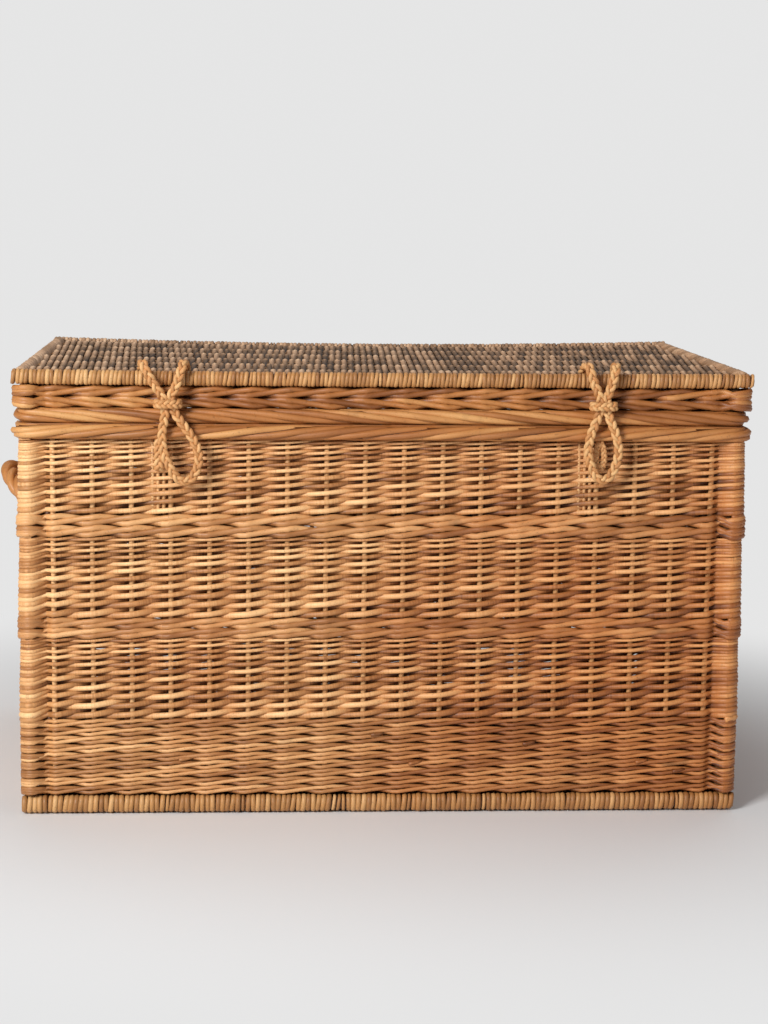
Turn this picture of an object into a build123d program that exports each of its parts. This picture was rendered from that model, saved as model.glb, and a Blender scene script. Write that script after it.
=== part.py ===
from build123d import *

import os
from math import cos, radians, sin, sqrt, tan

os.makedirs("parts", exist_ok=True)

# Plan of the woven walls, over the outer rods
body_length = 884
body_depth = 584

# Rods, stakes and posts that make up a wall, and the gap where one bears on another
rod_thickness = 6.4
stake_across = 6.5
post_radius = 7
post_sides = 8
inner_thickness = 6.5
inner_rib_depth = 2.2
rod_slope = 30
rod_fill = 0.82
seat = 0.1
soft_seat = 0.25

# Stakes along the walls
stake_pitch = 47
end_stake_gap = 25.5
liner_across = 4.4
liner_pitch = 7
liner_first = 8
liner_count = 3
hasp_stake = 3

# Heights of the woven bands, from the floor up, and their rows
base_edge_height = 25
upsett_height = 95
lower_rand_height = 102
lower_wale_height = 24
middle_rand_height = 101
upper_wale_height = 28
upper_rand_height = 91.4
upsett_rows = 9
rand_rows = 11
wale_rows = 3
rand_tip_share = 0.5
even_share = 1

# Base: bound edge, sticks and weave
base_edge_overhang = 2
base_edge_width = 21
edge_chamfer = 3
base_clearance = 4
base_stick_across = 8
base_stick_count = 6
base_weaver_pitch = 19.2
base_weaver_thickness = 5

# Rolled borders of body and lid, and the joint line between them
border_radius = 9.5
body_border_overhang = 12
body_border_width = 28
lid_border_overhang = 8
lid_border_width = 26
lid_gap = 0.5

# Hinge loops round the rear border and the lid's rear rod
loop_thickness = 4.5
loop_width = 9
loop_room = 2.4
loop_slot_room = 1
hinge_clearance = 0.05
hinge_stake_gap = 2.5

# Lid: rim, bound edge, sticks and weave
rim_height = 26.3
rim_rows = 2
lid_edge_height = 21
lid_edge_width = 18
lid_edge_overhang = 8
lid_stick_across = 8
lid_stick_count = 6
lid_weaver_pitch = 12
lid_weaver_thickness = 5.6
lid_under_pitch = 19.2
lid_under_thickness = 5
weaver_fill = 0.86
weaver_side_angle = 65
sheet_rib_depth = 2
lid_weave_drop = 1

# Roped handles on the end walls
handle_height = 351
handle_radius = 11.5
handle_reach = 60
handle_spread = 170
handle_rise = 45
handle_sides = 6

# Hasps and staples of plaited cord
cord_radius = 5
cord_sides = 4
hasp_spacing = 526
hasp_axis_depth = 17
cord_gap = 0.3
corner_ease = 0.8
bend_share = 0.45
knot_height = 11
knot_length = 45
knot_wall = 4.6
knot_eye_length = 34
knot_eye_room = 0.5
knot_level = 41
knot_front = 8.4
loop_stand_off = 9.9
tuck_setback = 9
tuck_length = 22
tuck_tip_ease = 2.5
staple_width = 15
staple_thickness = 6
staple_ease = 4
staple_eye_width = 4
staple_drop = 38
staple_eye_drop = 30
left_staple_shift = -11
right_staple_shift = -1

# Posts, wall faces and stake planes worked out from the plan
wrap_in = post_radius + seat
wrap_out = wrap_in + rod_thickness
post_x = body_length / 2 - wrap_out
post_y = body_depth / 2 - wrap_out
stake_x = post_x + post_radius - stake_across / 2
stake_y = post_y + post_radius - stake_across / 2
inner_x = stake_x - stake_across / 2 - seat
inner_y = stake_y - stake_across / 2 - seat
inner_span_x = 2 * (post_x - post_radius - seat)
inner_span_y = 2 * (post_y - post_radius - seat)
octagon_cut = 2 - sqrt(2)
post_turn = 180 / post_sides

stake_run_x = 2 * (post_x - end_stake_gap)
stake_run_y = 2 * (post_y - end_stake_gap)
stakes_x = round(stake_run_x / stake_pitch) + 1
stakes_y = round(stake_run_y / stake_pitch) + 1
stake_step_x = stake_run_x / (stakes_x - 1)
stake_step_y = stake_run_y / (stakes_y - 1)

# Levels worked out from the heights
weave_bottom = base_edge_height + seat
upsett_top = weave_bottom + upsett_height
lower_rand_top = upsett_top + lower_rand_height
lower_wale_top = lower_rand_top + lower_wale_height
middle_rand_top = lower_wale_top + middle_rand_height
upper_wale_top = middle_rand_top + upper_wale_height
weave_top = upper_wale_top + upper_rand_height
border_z = weave_top + soft_seat + border_radius
lid_border_z = border_z + 2 * border_radius + lid_gap
rim_bottom = lid_border_z + border_radius + soft_seat
loop_inner = border_radius + hinge_clearance
loop_outer = loop_inner + loop_thickness
rim_top = rim_bottom + rim_height
lid_edge_bottom = rim_top + soft_seat
lid_top = lid_edge_bottom + lid_edge_height

# Hinge line, hasps and the faces that they hang from
border_front = body_depth / 2 + body_border_overhang
hinge_y = border_front - loop_outer
loop_x = stake_run_x / 2 - hinge_stake_gap * stake_step_x
body_slots = (border_z - loop_outer - loop_slot_room, border_z)
rim_slots = (lid_border_z, lid_border_z + loop_outer + loop_room)
lid_front = body_depth / 2 + lid_edge_overhang
hasp_x = hasp_spacing / 2
cord_turn = 180 / cord_sides


def save(piece, name):
    """Label a finished piece and write it as one STEP file."""
    piece.part.label = name
    export_step(piece.part, f"parts/{name}.step")


def row_levels(bottom, height, rows, tip_share):
    """Middle and rod height of each woven row, from thick butts below to thin tips above."""
    shares = [1 - (1 - tip_share) * row / max(rows - 1, 1) for row in range(rows)]
    unit = height / sum(shares)
    levels = []
    for share in shares:
        pitch = share * unit
        levels.append((bottom + pitch / 2, pitch * rod_fill))
        bottom += pitch
    return levels


def hinge_slots(bottom, top):
    """Cut the way for the hinge loops through the rods of a rear wall."""
    with Locations((-loop_x, hinge_y, bottom), (loop_x, hinge_y, bottom)):
        Box(
            loop_width + 2 * loop_slot_room,
            2 * (loop_outer + loop_slot_room),
            top - bottom,
            align=(Align.CENTER, Align.CENTER, Align.MIN),
            mode=Mode.SUBTRACT,
        )


def woven_band(name, levels, slots=None):
    """Weave one band: every row is a rod that runs right round the stakes and corner posts."""
    with BuildPart() as band:
        for middle, height in levels:
            with BuildSketch(Plane.XY.offset(middle)) as plan:
                Rectangle(2 * (post_x + wrap_out), 2 * (post_y + wrap_out))
                chamfer(plan.vertices(), length=wrap_out * octagon_cut)
            extrude(amount=height / 2, both=True, taper=rod_slope)
        low = levels[0][0] - levels[0][1]
        high = levels[-1][0] + levels[-1][1]
        with BuildSketch(Plane.XY.offset(low)) as core:
            Rectangle(2 * (post_x + wrap_in), 2 * (post_y + wrap_in))
            chamfer(core.vertices(), length=wrap_in * octagon_cut)
        extrude(amount=high - low, mode=Mode.SUBTRACT)
        if slots:
            hinge_slots(*slots)
    save(band, name)


def inner_weave(name, plane, span, flat, side, levels, slots=None):
    """Ribbed inner layer of one wall: flat against the stakes, with every second row standing proud."""
    ridge = flat - inner_thickness
    valley = ridge + inner_rib_depth
    low = levels[0][0] - levels[0][1] / (2 * rod_fill)
    high = levels[-1][0] + levels[-1][1] / (2 * rod_fill)
    ribs = [(side * ridge, low)]
    for row, (middle, _) in enumerate(levels):
        ribs.append((side * (ridge if row % 2 else valley), middle))
    ribs.append((side * ridge, high))
    with BuildPart() as panel:
        with BuildSketch(plane.offset(-span / 2)):
            with BuildLine():
                Polyline((side * flat, low), *ribs, (side * flat, high), close=True)
            make_face()
        extrude(amount=span)
        if slots:
            hinge_slots(*slots)
    save(panel, name)


def upright_stakes(name, places, bottom, top):
    """Upright stakes, squared where the weave grips them."""
    with BuildPart() as row:
        with BuildSketch(Plane.XY.offset(bottom)):
            with Locations(*places):
                Rectangle(stake_across, stake_across)
        extrude(amount=top - bottom)
    save(row, name)


def long_sticks(name, count, across, level, half_x, half_y):
    """Sticks along the length, evenly spread between the long edges."""
    step = 2 * half_y / count
    with BuildPart() as sticks:
        with BuildSketch(Plane.YZ.offset(-half_x)):
            with Locations((0, level)):
                with GridLocations(step, 1, count, 1):
                    RegularPolygon(across / 2, 6, major_radius=False)
        extrude(amount=2 * half_x)
    save(sticks, name)


def cross_weavers(name, level, turn, pitch, thickness, half_x, half_y):
    """Weavers from front to rear on one side of the sticks, each with its flat on them."""
    count = int(2 * half_x // pitch)
    with BuildPart() as weavers:
        with BuildSketch(Plane.XZ.offset(-half_y)):
            with Locations((0, level)):
                with GridLocations(2 * half_x / count, 1, count, 1):
                    Trapezoid(pitch * weaver_fill, thickness, weaver_side_angle, rotation=turn)
        extrude(amount=2 * half_y)
    save(weavers, name)


def ribbed_sheet(name, flat, towards, pitch, thickness, half_x, half_y):
    """Close layer of weavers from front to rear: flat on the sticks, ribbed on its other face."""
    count = int(2 * half_x // pitch)
    step = 2 * half_x / count
    ridge = flat + towards * thickness
    valley = ridge - towards * sheet_rib_depth
    ribs = [(-half_x, valley)]
    for rib in range(count):
        start = -half_x + rib * step
        ribs.append((start + step / 2, ridge))
        ribs.append((start + step, valley))
    with BuildPart() as sheet:
        with BuildSketch(Plane.XZ.offset(-half_y)):
            with BuildLine():
                Polyline((-half_x, flat), *ribs, (half_x, flat), close=True)
            make_face()
        extrude(amount=2 * half_y)
    save(sheet, name)


def bound_edge(name, plane, place, width, height, bottom, length):
    """Edge stick with its binding: a rail with eased corners, on a flat foot."""
    with BuildPart() as edge:
        with BuildSketch(plane.offset(-length / 2)) as section:
            with Locations((place, bottom + height / 2)):
                Rectangle(width, height)
            chamfer(section.vertices(), length=edge_chamfer)
        extrude(amount=length)
    save(edge, name)


def rolled_border(name, plane, place, width, level, start, end):
    """Straight run of a rolled border, oval in section."""
    with BuildPart() as border:
        with BuildSketch(plane.offset(start)):
            with Locations((place, level)):
                SlotOverall(width, 2 * border_radius)
        extrude(amount=end - start)
    save(border, name)


def rear_rod(name, level, length):
    """Round rear run of a border, which the hinge loops go round."""
    with BuildPart() as rod:
        with BuildSketch(Plane.YZ.offset(-length / 2)):
            with Locations((hinge_y, level)):
                Circle(border_radius)
        extrude(amount=length)
    save(rod, name)


# Woven walls, band by band
upsett_levels = row_levels(weave_bottom, upsett_height, upsett_rows, even_share)
lower_rand_levels = row_levels(upsett_top, lower_rand_height, rand_rows, rand_tip_share)
lower_wale_levels = row_levels(lower_rand_top, lower_wale_height, wale_rows, even_share)
middle_rand_levels = row_levels(lower_wale_top, middle_rand_height, rand_rows, rand_tip_share)
upper_wale_levels = row_levels(middle_rand_top, upper_wale_height, wale_rows, even_share)
upper_rand_levels = row_levels(upper_wale_top, upper_rand_height, rand_rows, rand_tip_share)
wall_levels = (
    upsett_levels
    + lower_rand_levels
    + lower_wale_levels
    + middle_rand_levels
    + upper_wale_levels
    + upper_rand_levels
)
woven_band("upsett_wale", upsett_levels)
woven_band("lower_rand", lower_rand_levels)
woven_band("lower_wale", lower_wale_levels)
woven_band("middle_rand", middle_rand_levels)
woven_band("upper_wale", upper_wale_levels)
woven_band("upper_rand", upper_rand_levels, slots=body_slots)

inner_weave("front_inner_weave", Plane.YZ, inner_span_x, inner_y, -1, wall_levels)
inner_weave("rear_inner_weave", Plane.YZ, inner_span_x, inner_y, 1, wall_levels, slots=body_slots)
inner_weave("left_inner_weave", Plane.XZ, inner_span_y, inner_x, -1, wall_levels)
inner_weave("right_inner_weave", Plane.XZ, inner_span_y, inner_x, 1, wall_levels)

# Stakes and corner posts of the body
stake_line_x = [i * stake_step_x - stake_run_x / 2 for i in range(stakes_x)]
stake_line_y = [i * stake_step_y - stake_run_y / 2 for i in range(stakes_y)]
front_places = [(x, -stake_y) for x in stake_line_x]
rear_places = [(x, stake_y) for x in stake_line_x]
left_places = [(-stake_x, y) for y in stake_line_y]
right_places = [(stake_x, y) for y in stake_line_y]
upright_stakes("front_stakes", front_places, weave_bottom, weave_top)
upright_stakes("rear_stakes", rear_places, weave_bottom, weave_top)
upright_stakes("left_stakes", left_places, weave_bottom, weave_top)
upright_stakes("right_stakes", right_places, weave_bottom, weave_top)

for side_y, depth_name in ((-1, "front"), (1, "rear")):
    for side_x, length_name in ((-1, "left"), (1, "right")):
        with BuildPart() as post:
            with BuildSketch(Plane.XY.offset(weave_bottom)):
                with Locations((side_x * post_x, side_y * post_y)):
                    RegularPolygon(post_radius, post_sides, major_radius=False, rotation=post_turn)
            extrude(amount=weave_top - weave_bottom)
        save(post, f"corner_post_{depth_name}_{length_name}")

# Liner stakes that strengthen the wall beside the two staples
hasp_stakes = (stake_line_x[hasp_stake], stake_line_x[-1 - hasp_stake])
with BuildPart() as liners:
    with BuildSketch(Plane.XY.offset(upper_wale_top)):
        for stake_place in hasp_stakes:
            for liner in range(liner_count):
                with Locations((stake_place - liner_first - liner * liner_pitch, -stake_y)):
                    Rectangle(liner_across, liner_across)
    extrude(amount=weave_top - upper_wale_top)
save(liners, "staple_liner_stakes")

# Base
base_edge_x = body_length / 2 + base_edge_overhang
base_edge_y = body_depth / 2 + base_edge_overhang
base_in_x = base_edge_x - base_edge_width - seat
base_in_y = base_edge_y - base_edge_width - seat
base_under = base_clearance + base_weaver_thickness
base_stick_z = base_under + seat + base_stick_across / 2
base_floor = base_stick_z + base_stick_across / 2 + seat
for side, name in ((-1, "front"), (1, "rear")):
    bound_edge(
        f"base_edge_{name}",
        Plane.YZ,
        side * (base_edge_y - base_edge_width / 2),
        base_edge_width,
        base_edge_height,
        0,
        2 * base_edge_x,
    )
for side, name in ((-1, "left"), (1, "right")):
    bound_edge(
        f"base_edge_{name}",
        Plane.XZ,
        side * (base_edge_x - base_edge_width / 2),
        base_edge_width,
        base_edge_height,
        0,
        2 * base_in_y,
    )
long_sticks("base_sticks", base_stick_count, base_stick_across, base_stick_z, base_in_x, base_in_y)
ribbed_sheet(
    "base_floor_weave", base_floor, 1, base_weaver_pitch, base_weaver_thickness, base_in_x, base_in_y
)
cross_weavers(
    "base_under_weave",
    base_clearance + base_weaver_thickness / 2,
    180,
    base_weaver_pitch,
    base_weaver_thickness,
    base_in_x,
    base_in_y,
)

# Rolled border of the body
border_x = body_length / 2 + body_border_overhang
side_border_start = -hinge_y + loop_inner
side_border_end = border_front - body_border_width - seat
rolled_border(
    "border_front",
    Plane.YZ,
    body_border_width / 2 - border_front,
    body_border_width,
    border_z,
    -border_x,
    border_x,
)
for side, name in ((-1, "left"), (1, "right")):
    rolled_border(
        f"border_{name}",
        Plane.XZ,
        side * (border_x - body_border_width / 2),
        body_border_width,
        border_z,
        side_border_start,
        side_border_end,
    )
rear_rod("border_rear", border_z, 2 * border_x)

# Hinge loops of twisted willow, round the rear border and the lid's rear rod
loop_length = lid_border_z - border_z
with BuildPart() as loops:
    for side in (-1, 1):
        for reach, mode in ((loop_outer, Mode.ADD), (loop_inner, Mode.SUBTRACT)):
            with BuildSketch(Plane.YZ.offset(side * loop_x - loop_width / 2)) as outline:
                with Locations((hinge_y, (border_z + lid_border_z) / 2)):
                    Rectangle(2 * reach, loop_length + 2 * reach)
                chamfer(outline.vertices(), length=reach * octagon_cut)
            extrude(amount=loop_width, mode=mode)
save(loops, "hinge_loops")

# Lid: bound edges, sticks and weave
lid_edge_x = body_length / 2 + lid_edge_overhang
lid_in_x = lid_edge_x - lid_edge_width - seat
lid_in_y = lid_front - lid_edge_width - seat
lid_weave_top = lid_top - lid_weave_drop
lid_stick_z = lid_weave_top - lid_weaver_thickness - seat - lid_stick_across / 2
lid_under = lid_stick_z - lid_stick_across / 2 - seat
for side, name in ((-1, "front"), (1, "rear")):
    bound_edge(
        f"lid_edge_{name}",
        Plane.YZ,
        side * (lid_front - lid_edge_width / 2),
        lid_edge_width,
        lid_edge_height,
        lid_edge_bottom,
        2 * lid_edge_x,
    )
for side, name in ((-1, "left"), (1, "right")):
    bound_edge(
        f"lid_edge_{name}",
        Plane.XZ,
        side * (lid_edge_x - lid_edge_width / 2),
        lid_edge_width,
        lid_edge_height,
        lid_edge_bottom,
        2 * lid_in_y,
    )
long_sticks("lid_sticks", lid_stick_count, lid_stick_across, lid_stick_z, lid_in_x, lid_in_y)
cross_weavers(
    "lid_top_weave",
    lid_weave_top - lid_weaver_thickness / 2,
    0,
    lid_weaver_pitch,
    lid_weaver_thickness,
    lid_in_x,
    lid_in_y,
)
ribbed_sheet("lid_under_weave", lid_under, -1, lid_under_pitch, lid_under_thickness, lid_in_x, lid_in_y)

# Lid rim: corner posts, stakes, wale rows and their inner layer
rim_places = front_places + rear_places + left_places + right_places
upright_stakes("lid_rim_stakes", rim_places, rim_bottom, rim_top)

with BuildPart() as rim_posts:
    with BuildSketch(Plane.XY.offset(rim_bottom)):
        with GridLocations(2 * post_x, 2 * post_y, 2, 2):
            RegularPolygon(post_radius, post_sides, major_radius=False, rotation=post_turn)
    extrude(amount=rim_top - rim_bottom)
save(rim_posts, "lid_corner_posts")

rim_levels = row_levels(rim_bottom, rim_height, rim_rows, even_share)
woven_band("lid_rim_wale", rim_levels, slots=rim_slots)
inner_weave("lid_rim_inner_front", Plane.YZ, inner_span_x, inner_y, -1, rim_levels)
inner_weave("lid_rim_inner_rear", Plane.YZ, inner_span_x, inner_y, 1, rim_levels, slots=rim_slots)
inner_weave("lid_rim_inner_left", Plane.XZ, inner_span_y, inner_x, -1, rim_levels)
inner_weave("lid_rim_inner_right", Plane.XZ, inner_span_y, inner_x, 1, rim_levels)

# Rolled border of the lid, whose rear run is the hinge rod
lid_border_front = body_depth / 2 + lid_border_overhang
lid_border_x = body_length / 2 + lid_border_overhang
rolled_border(
    "lid_border_front",
    Plane.YZ,
    lid_border_width / 2 - lid_border_front,
    lid_border_width,
    lid_border_z,
    -lid_border_x,
    lid_border_x,
)
for side, name in ((-1, "left"), (1, "right")):
    rolled_border(
        f"lid_border_{name}",
        Plane.XZ,
        side * (lid_border_x - lid_border_width / 2),
        lid_border_width,
        lid_border_z,
        side_border_start,
        lid_border_front - lid_border_width - seat,
    )
rear_rod("lid_hinge_rod", lid_border_z, 2 * lid_border_x)

# Roped bow handles, standing up and out from the end walls: arcs of a ring that the wall cuts off
bow_radius = ((handle_spread / 2) ** 2 + handle_reach**2) / (2 * handle_reach)
bow_out = Vector(-cos(radians(handle_rise)), 0, sin(radians(handle_rise)))
bow_up = Vector(sin(radians(handle_rise)), 0, cos(radians(handle_rise)))
bow_middle = Vector(-body_length / 2, 0, handle_height) + bow_out * (handle_reach - bow_radius)
with BuildPart() as left_handle:
    with BuildSketch(Plane(bow_middle, x_dir=bow_out, z_dir=(0, 1, 0))):
        with Locations((bow_radius, 0)):
            RegularPolygon(handle_radius, handle_sides)
    revolve(axis=Axis(bow_middle, bow_up))
    split(bisect_by=Plane.YZ.offset(-body_length / 2 - seat), keep=Keep.BOTTOM)
save(left_handle, "handle_left")
with BuildPart() as right_handle:
    mirror(left_handle.part, about=Plane.YZ)
save(right_handle, "handle_right")


def staple(name, place):
    """Short plaited loop that hangs from under the front border, close to the wall."""
    top = weave_top - seat
    with BuildPart() as loop:
        with BuildSketch(Plane.XZ.offset(body_depth / 2 + cord_gap)) as strap:
            with Locations((place, top - staple_drop / 2)):
                Rectangle(staple_width, staple_drop)
            chamfer(strap.vertices().group_by(Axis.Z)[0], length=staple_ease)
            with Locations((place, top - staple_eye_drop / 2)):
                Rectangle(staple_eye_width, staple_eye_drop, mode=Mode.SUBTRACT)
        extrude(amount=staple_thickness)
    save(loop, name)


staple("staple_left", -hasp_x + left_staple_shift)
staple("staple_right", hasp_x + right_staple_shift)

# Hasp routes, from the pivot on the lid's front edge round the loop and back to the pivot:
# across from the hasp's middle, out from the lid's front face, and up from the lid's top
cord_lift = cord_radius + cord_gap
cord_rest = cord_radius * cos(radians(cord_turn)) + cord_gap
corner_out = cord_lift + corner_ease
left_route = (
    (-31, hasp_axis_depth, cord_lift),
    (-29, -corner_out, cord_lift),
    (-5.3, -knot_front, -knot_level),
    (-10, -loop_stand_off, -89),
    (19, -loop_stand_off, -139),
    (42, -loop_stand_off, -97),
    (5.3, -knot_front, -knot_level),
    (18, -corner_out, cord_lift),
    (19, hasp_axis_depth, cord_lift),
)
right_route = (
    (-20, hasp_axis_depth, cord_lift),
    (-18, -corner_out, cord_lift),
    (-5.3, -knot_front, -knot_level),
    (-22, -loop_stand_off, -92),
    (1, -loop_stand_off, -138),
    (24, -loop_stand_off, -92),
    (5.3, -knot_front, -knot_level),
    (14.5, -corner_out, cord_lift),
    (16.5, hasp_axis_depth, cord_lift),
)


def hasp(name, middle, route):
    """Plaited hasp: its looped cord, the knot that ties it and the ends tucked into the lid."""
    points = [Vector(middle + x, y - lid_front, lid_top + z) for x, y, z in route]
    radii = []
    for before, point, after in zip(points, points[1:], points[2:]):
        turn = (point - before).get_angle(after - point)
        run = min((point - before).length, (after - point).length)
        radii.append(bend_share * run / tan(radians(turn / 2)))
    print(name, "bend radii", [round(radius, 1) for radius in radii])
    ends = (points[0], points[-1])
    with BuildPart() as cord:
        with BuildLine() as route_line:
            FilletPolyline(*points, radius=radii)
        with BuildSketch(Plane(route_line.line @ 0, x_dir=(1, 0, 0), z_dir=route_line.line % 0)):
            RegularPolygon(cord_radius, cord_sides, rotation=cord_turn)
        sweep()
    save(cord, f"{name}_cord")
    print(name, "cord length", round(route_line.wire().length, 1))

    with BuildPart() as knot:
        with BuildSketch(Plane.XY.offset(lid_top - knot_level - knot_height / 2)) as bar:
            with Locations((middle, -lid_front - knot_front)):
                eye_width = 2 * (cord_radius + knot_eye_room)
                Rectangle(knot_length, eye_width + 2 * knot_wall)
                chamfer(bar.vertices(), length=knot_wall)
                Rectangle(knot_eye_length, eye_width, mode=Mode.SUBTRACT)
        extrude(amount=knot_height)
    save(knot, f"{name}_knot")

    with BuildPart() as tucks:
        for end in ends:
            start = Vector(end.X, end.Y + tuck_setback, lid_weave_top + cord_rest)
            butt = Plane(start, x_dir=(1, 0, 0), z_dir=(0, 1, 0))
            with BuildSketch(butt):
                RegularPolygon(cord_radius, cord_sides, rotation=cord_turn)
            extrude(amount=tuck_length)
        chamfer(tucks.faces().group_by(Axis.Y)[-1].edges(), length=tuck_tip_ease)
    save(tucks, f"{name}_tucked_ends")


hasp("hasp_left", -hasp_x, left_route)
hasp("hasp_right", hasp_x, right_route)
print("hinge axis y, z", round(hinge_y, 3), round(lid_border_z, 3))
print("hasp axis y, z", round(hasp_axis_depth - lid_front, 3), round(lid_top + cord_lift, 3))
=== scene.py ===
import logging
import math
from dataclasses import dataclass, field
from enum import Enum

import bpy
import numpy as np
from mathutils import Euler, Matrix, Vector


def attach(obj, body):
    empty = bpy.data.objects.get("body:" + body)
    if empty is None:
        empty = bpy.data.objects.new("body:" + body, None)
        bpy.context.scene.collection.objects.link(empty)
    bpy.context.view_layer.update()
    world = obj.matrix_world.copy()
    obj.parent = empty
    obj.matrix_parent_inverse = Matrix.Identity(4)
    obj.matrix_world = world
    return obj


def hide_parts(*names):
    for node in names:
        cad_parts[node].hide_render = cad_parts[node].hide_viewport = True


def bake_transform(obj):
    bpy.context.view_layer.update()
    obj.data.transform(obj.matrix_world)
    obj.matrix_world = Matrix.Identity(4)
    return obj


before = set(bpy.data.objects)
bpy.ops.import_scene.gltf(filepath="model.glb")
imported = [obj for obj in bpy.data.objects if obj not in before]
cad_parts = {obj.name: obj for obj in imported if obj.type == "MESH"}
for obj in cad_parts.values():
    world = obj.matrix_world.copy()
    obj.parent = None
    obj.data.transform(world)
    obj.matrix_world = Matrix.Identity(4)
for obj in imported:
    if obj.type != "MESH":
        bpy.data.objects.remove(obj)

LOG = logging.getLogger("wicker_trunk")
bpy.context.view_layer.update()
MM = 0.001

# Guide points of a strand at each upright, and samples on each span between them
GUIDES = 3
STEPS = 2

# Painted shade on a flat weave: half the height of its darkened middle, and the height over which the shade
# fades
PAINTED_SHADE_HALF = 3.5
PAINTED_SHADE_FADE = 5.5

# Width left at the tip of a strand, as a share of its radius
TIP_SHARE = 0.05

# Layout of the strands on the flat map: strips in a column, and the room round each strip
STRIPS_PER_COLUMN = 90
MARGIN_ALONG = 0.02
MARGIN_ROUND = 0.06


class Slant(Enum):
    """Way that the strokes of a wale or border lean, seen from outside."""

    RISING = 1
    FALLING = -1


class Side(Enum):
    """Side of an upright that a strand passes on."""

    FRONT = 1
    BACK = -1


def linear(colour: tuple[float, float, float]) -> tuple[float, float, float, float]:
    """Turn a display colour into the linear one that a shader takes.

    Args:
        colour: Red, green and blue from 0 to 1, as seen on screen.

    Returns:
        Linear red, green and blue with full alpha.
    """
    parts = [c / 12.92 if c <= 0.04045 else ((c + 0.055) / 1.055) ** 2.4 for c in colour]
    return (parts[0], parts[1], parts[2], 1.0)


def unit(vectors: np.ndarray) -> np.ndarray:
    """Scale vectors on the last axis to length one."""
    return vectors / np.maximum(np.linalg.norm(vectors, axis=-1, keepdims=True), 1e-9)


def smooth(points: np.ndarray, steps: int, closed: bool = False) -> np.ndarray:
    """Run a smooth curve through control points.

    Args:
        points: Control points, shaped (..., M, K).
        steps: Samples for each span.
        closed: Whether the last point joins the first.

    Returns:
        The sampled curve, shaped (..., samples, K).
    """
    if closed:
        padded = np.concatenate([points[..., -1:, :], points, points[..., :2, :]], axis=-2)
    else:
        padded = np.concatenate([points[..., :1, :], points, points[..., -1:, :]], axis=-2)
    p0, p1 = padded[..., :-3, :], padded[..., 1:-2, :]
    p2, p3 = padded[..., 2:-1, :], padded[..., 3:, :]
    samples = []
    for step in range(steps):
        t = step / steps
        samples.append(
            0.5
            * (
                2 * p1
                + (p2 - p0) * t
                + (2 * p0 - 5 * p1 + 4 * p2 - p3) * t**2
                + (3 * p1 - p0 - 3 * p2 + p3) * t**3
            )
        )
    curve = np.stack(samples, axis=-2)
    curve = curve.reshape(curve.shape[:-3] + (-1, points.shape[-1]))
    if not closed:
        curve = np.concatenate([curve, points[..., -1:, :]], axis=-2)
    return curve


def smooth_values(values: np.ndarray, closed: bool = False) -> np.ndarray:
    """Run values along strands as smoothly as their points."""
    return smooth(values[..., None], STEPS, closed)[..., 0]


def spaced(path: np.ndarray, step: float) -> np.ndarray:
    """Space a path's points evenly.

    Args:
        path: Points of the path.
        step: Spacing wanted, in millimetres.

    Returns:
        Evenly spaced points along it.
    """
    lengths = np.concatenate([[0], np.cumsum(np.linalg.norm(np.diff(path, axis=0), axis=1))])
    count = max(4, int(lengths[-1] // step))
    along = np.linspace(0, lengths[-1], count)
    return np.stack([np.interp(along, lengths, path[:, axis]) for axis in range(3)], -1)


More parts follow.
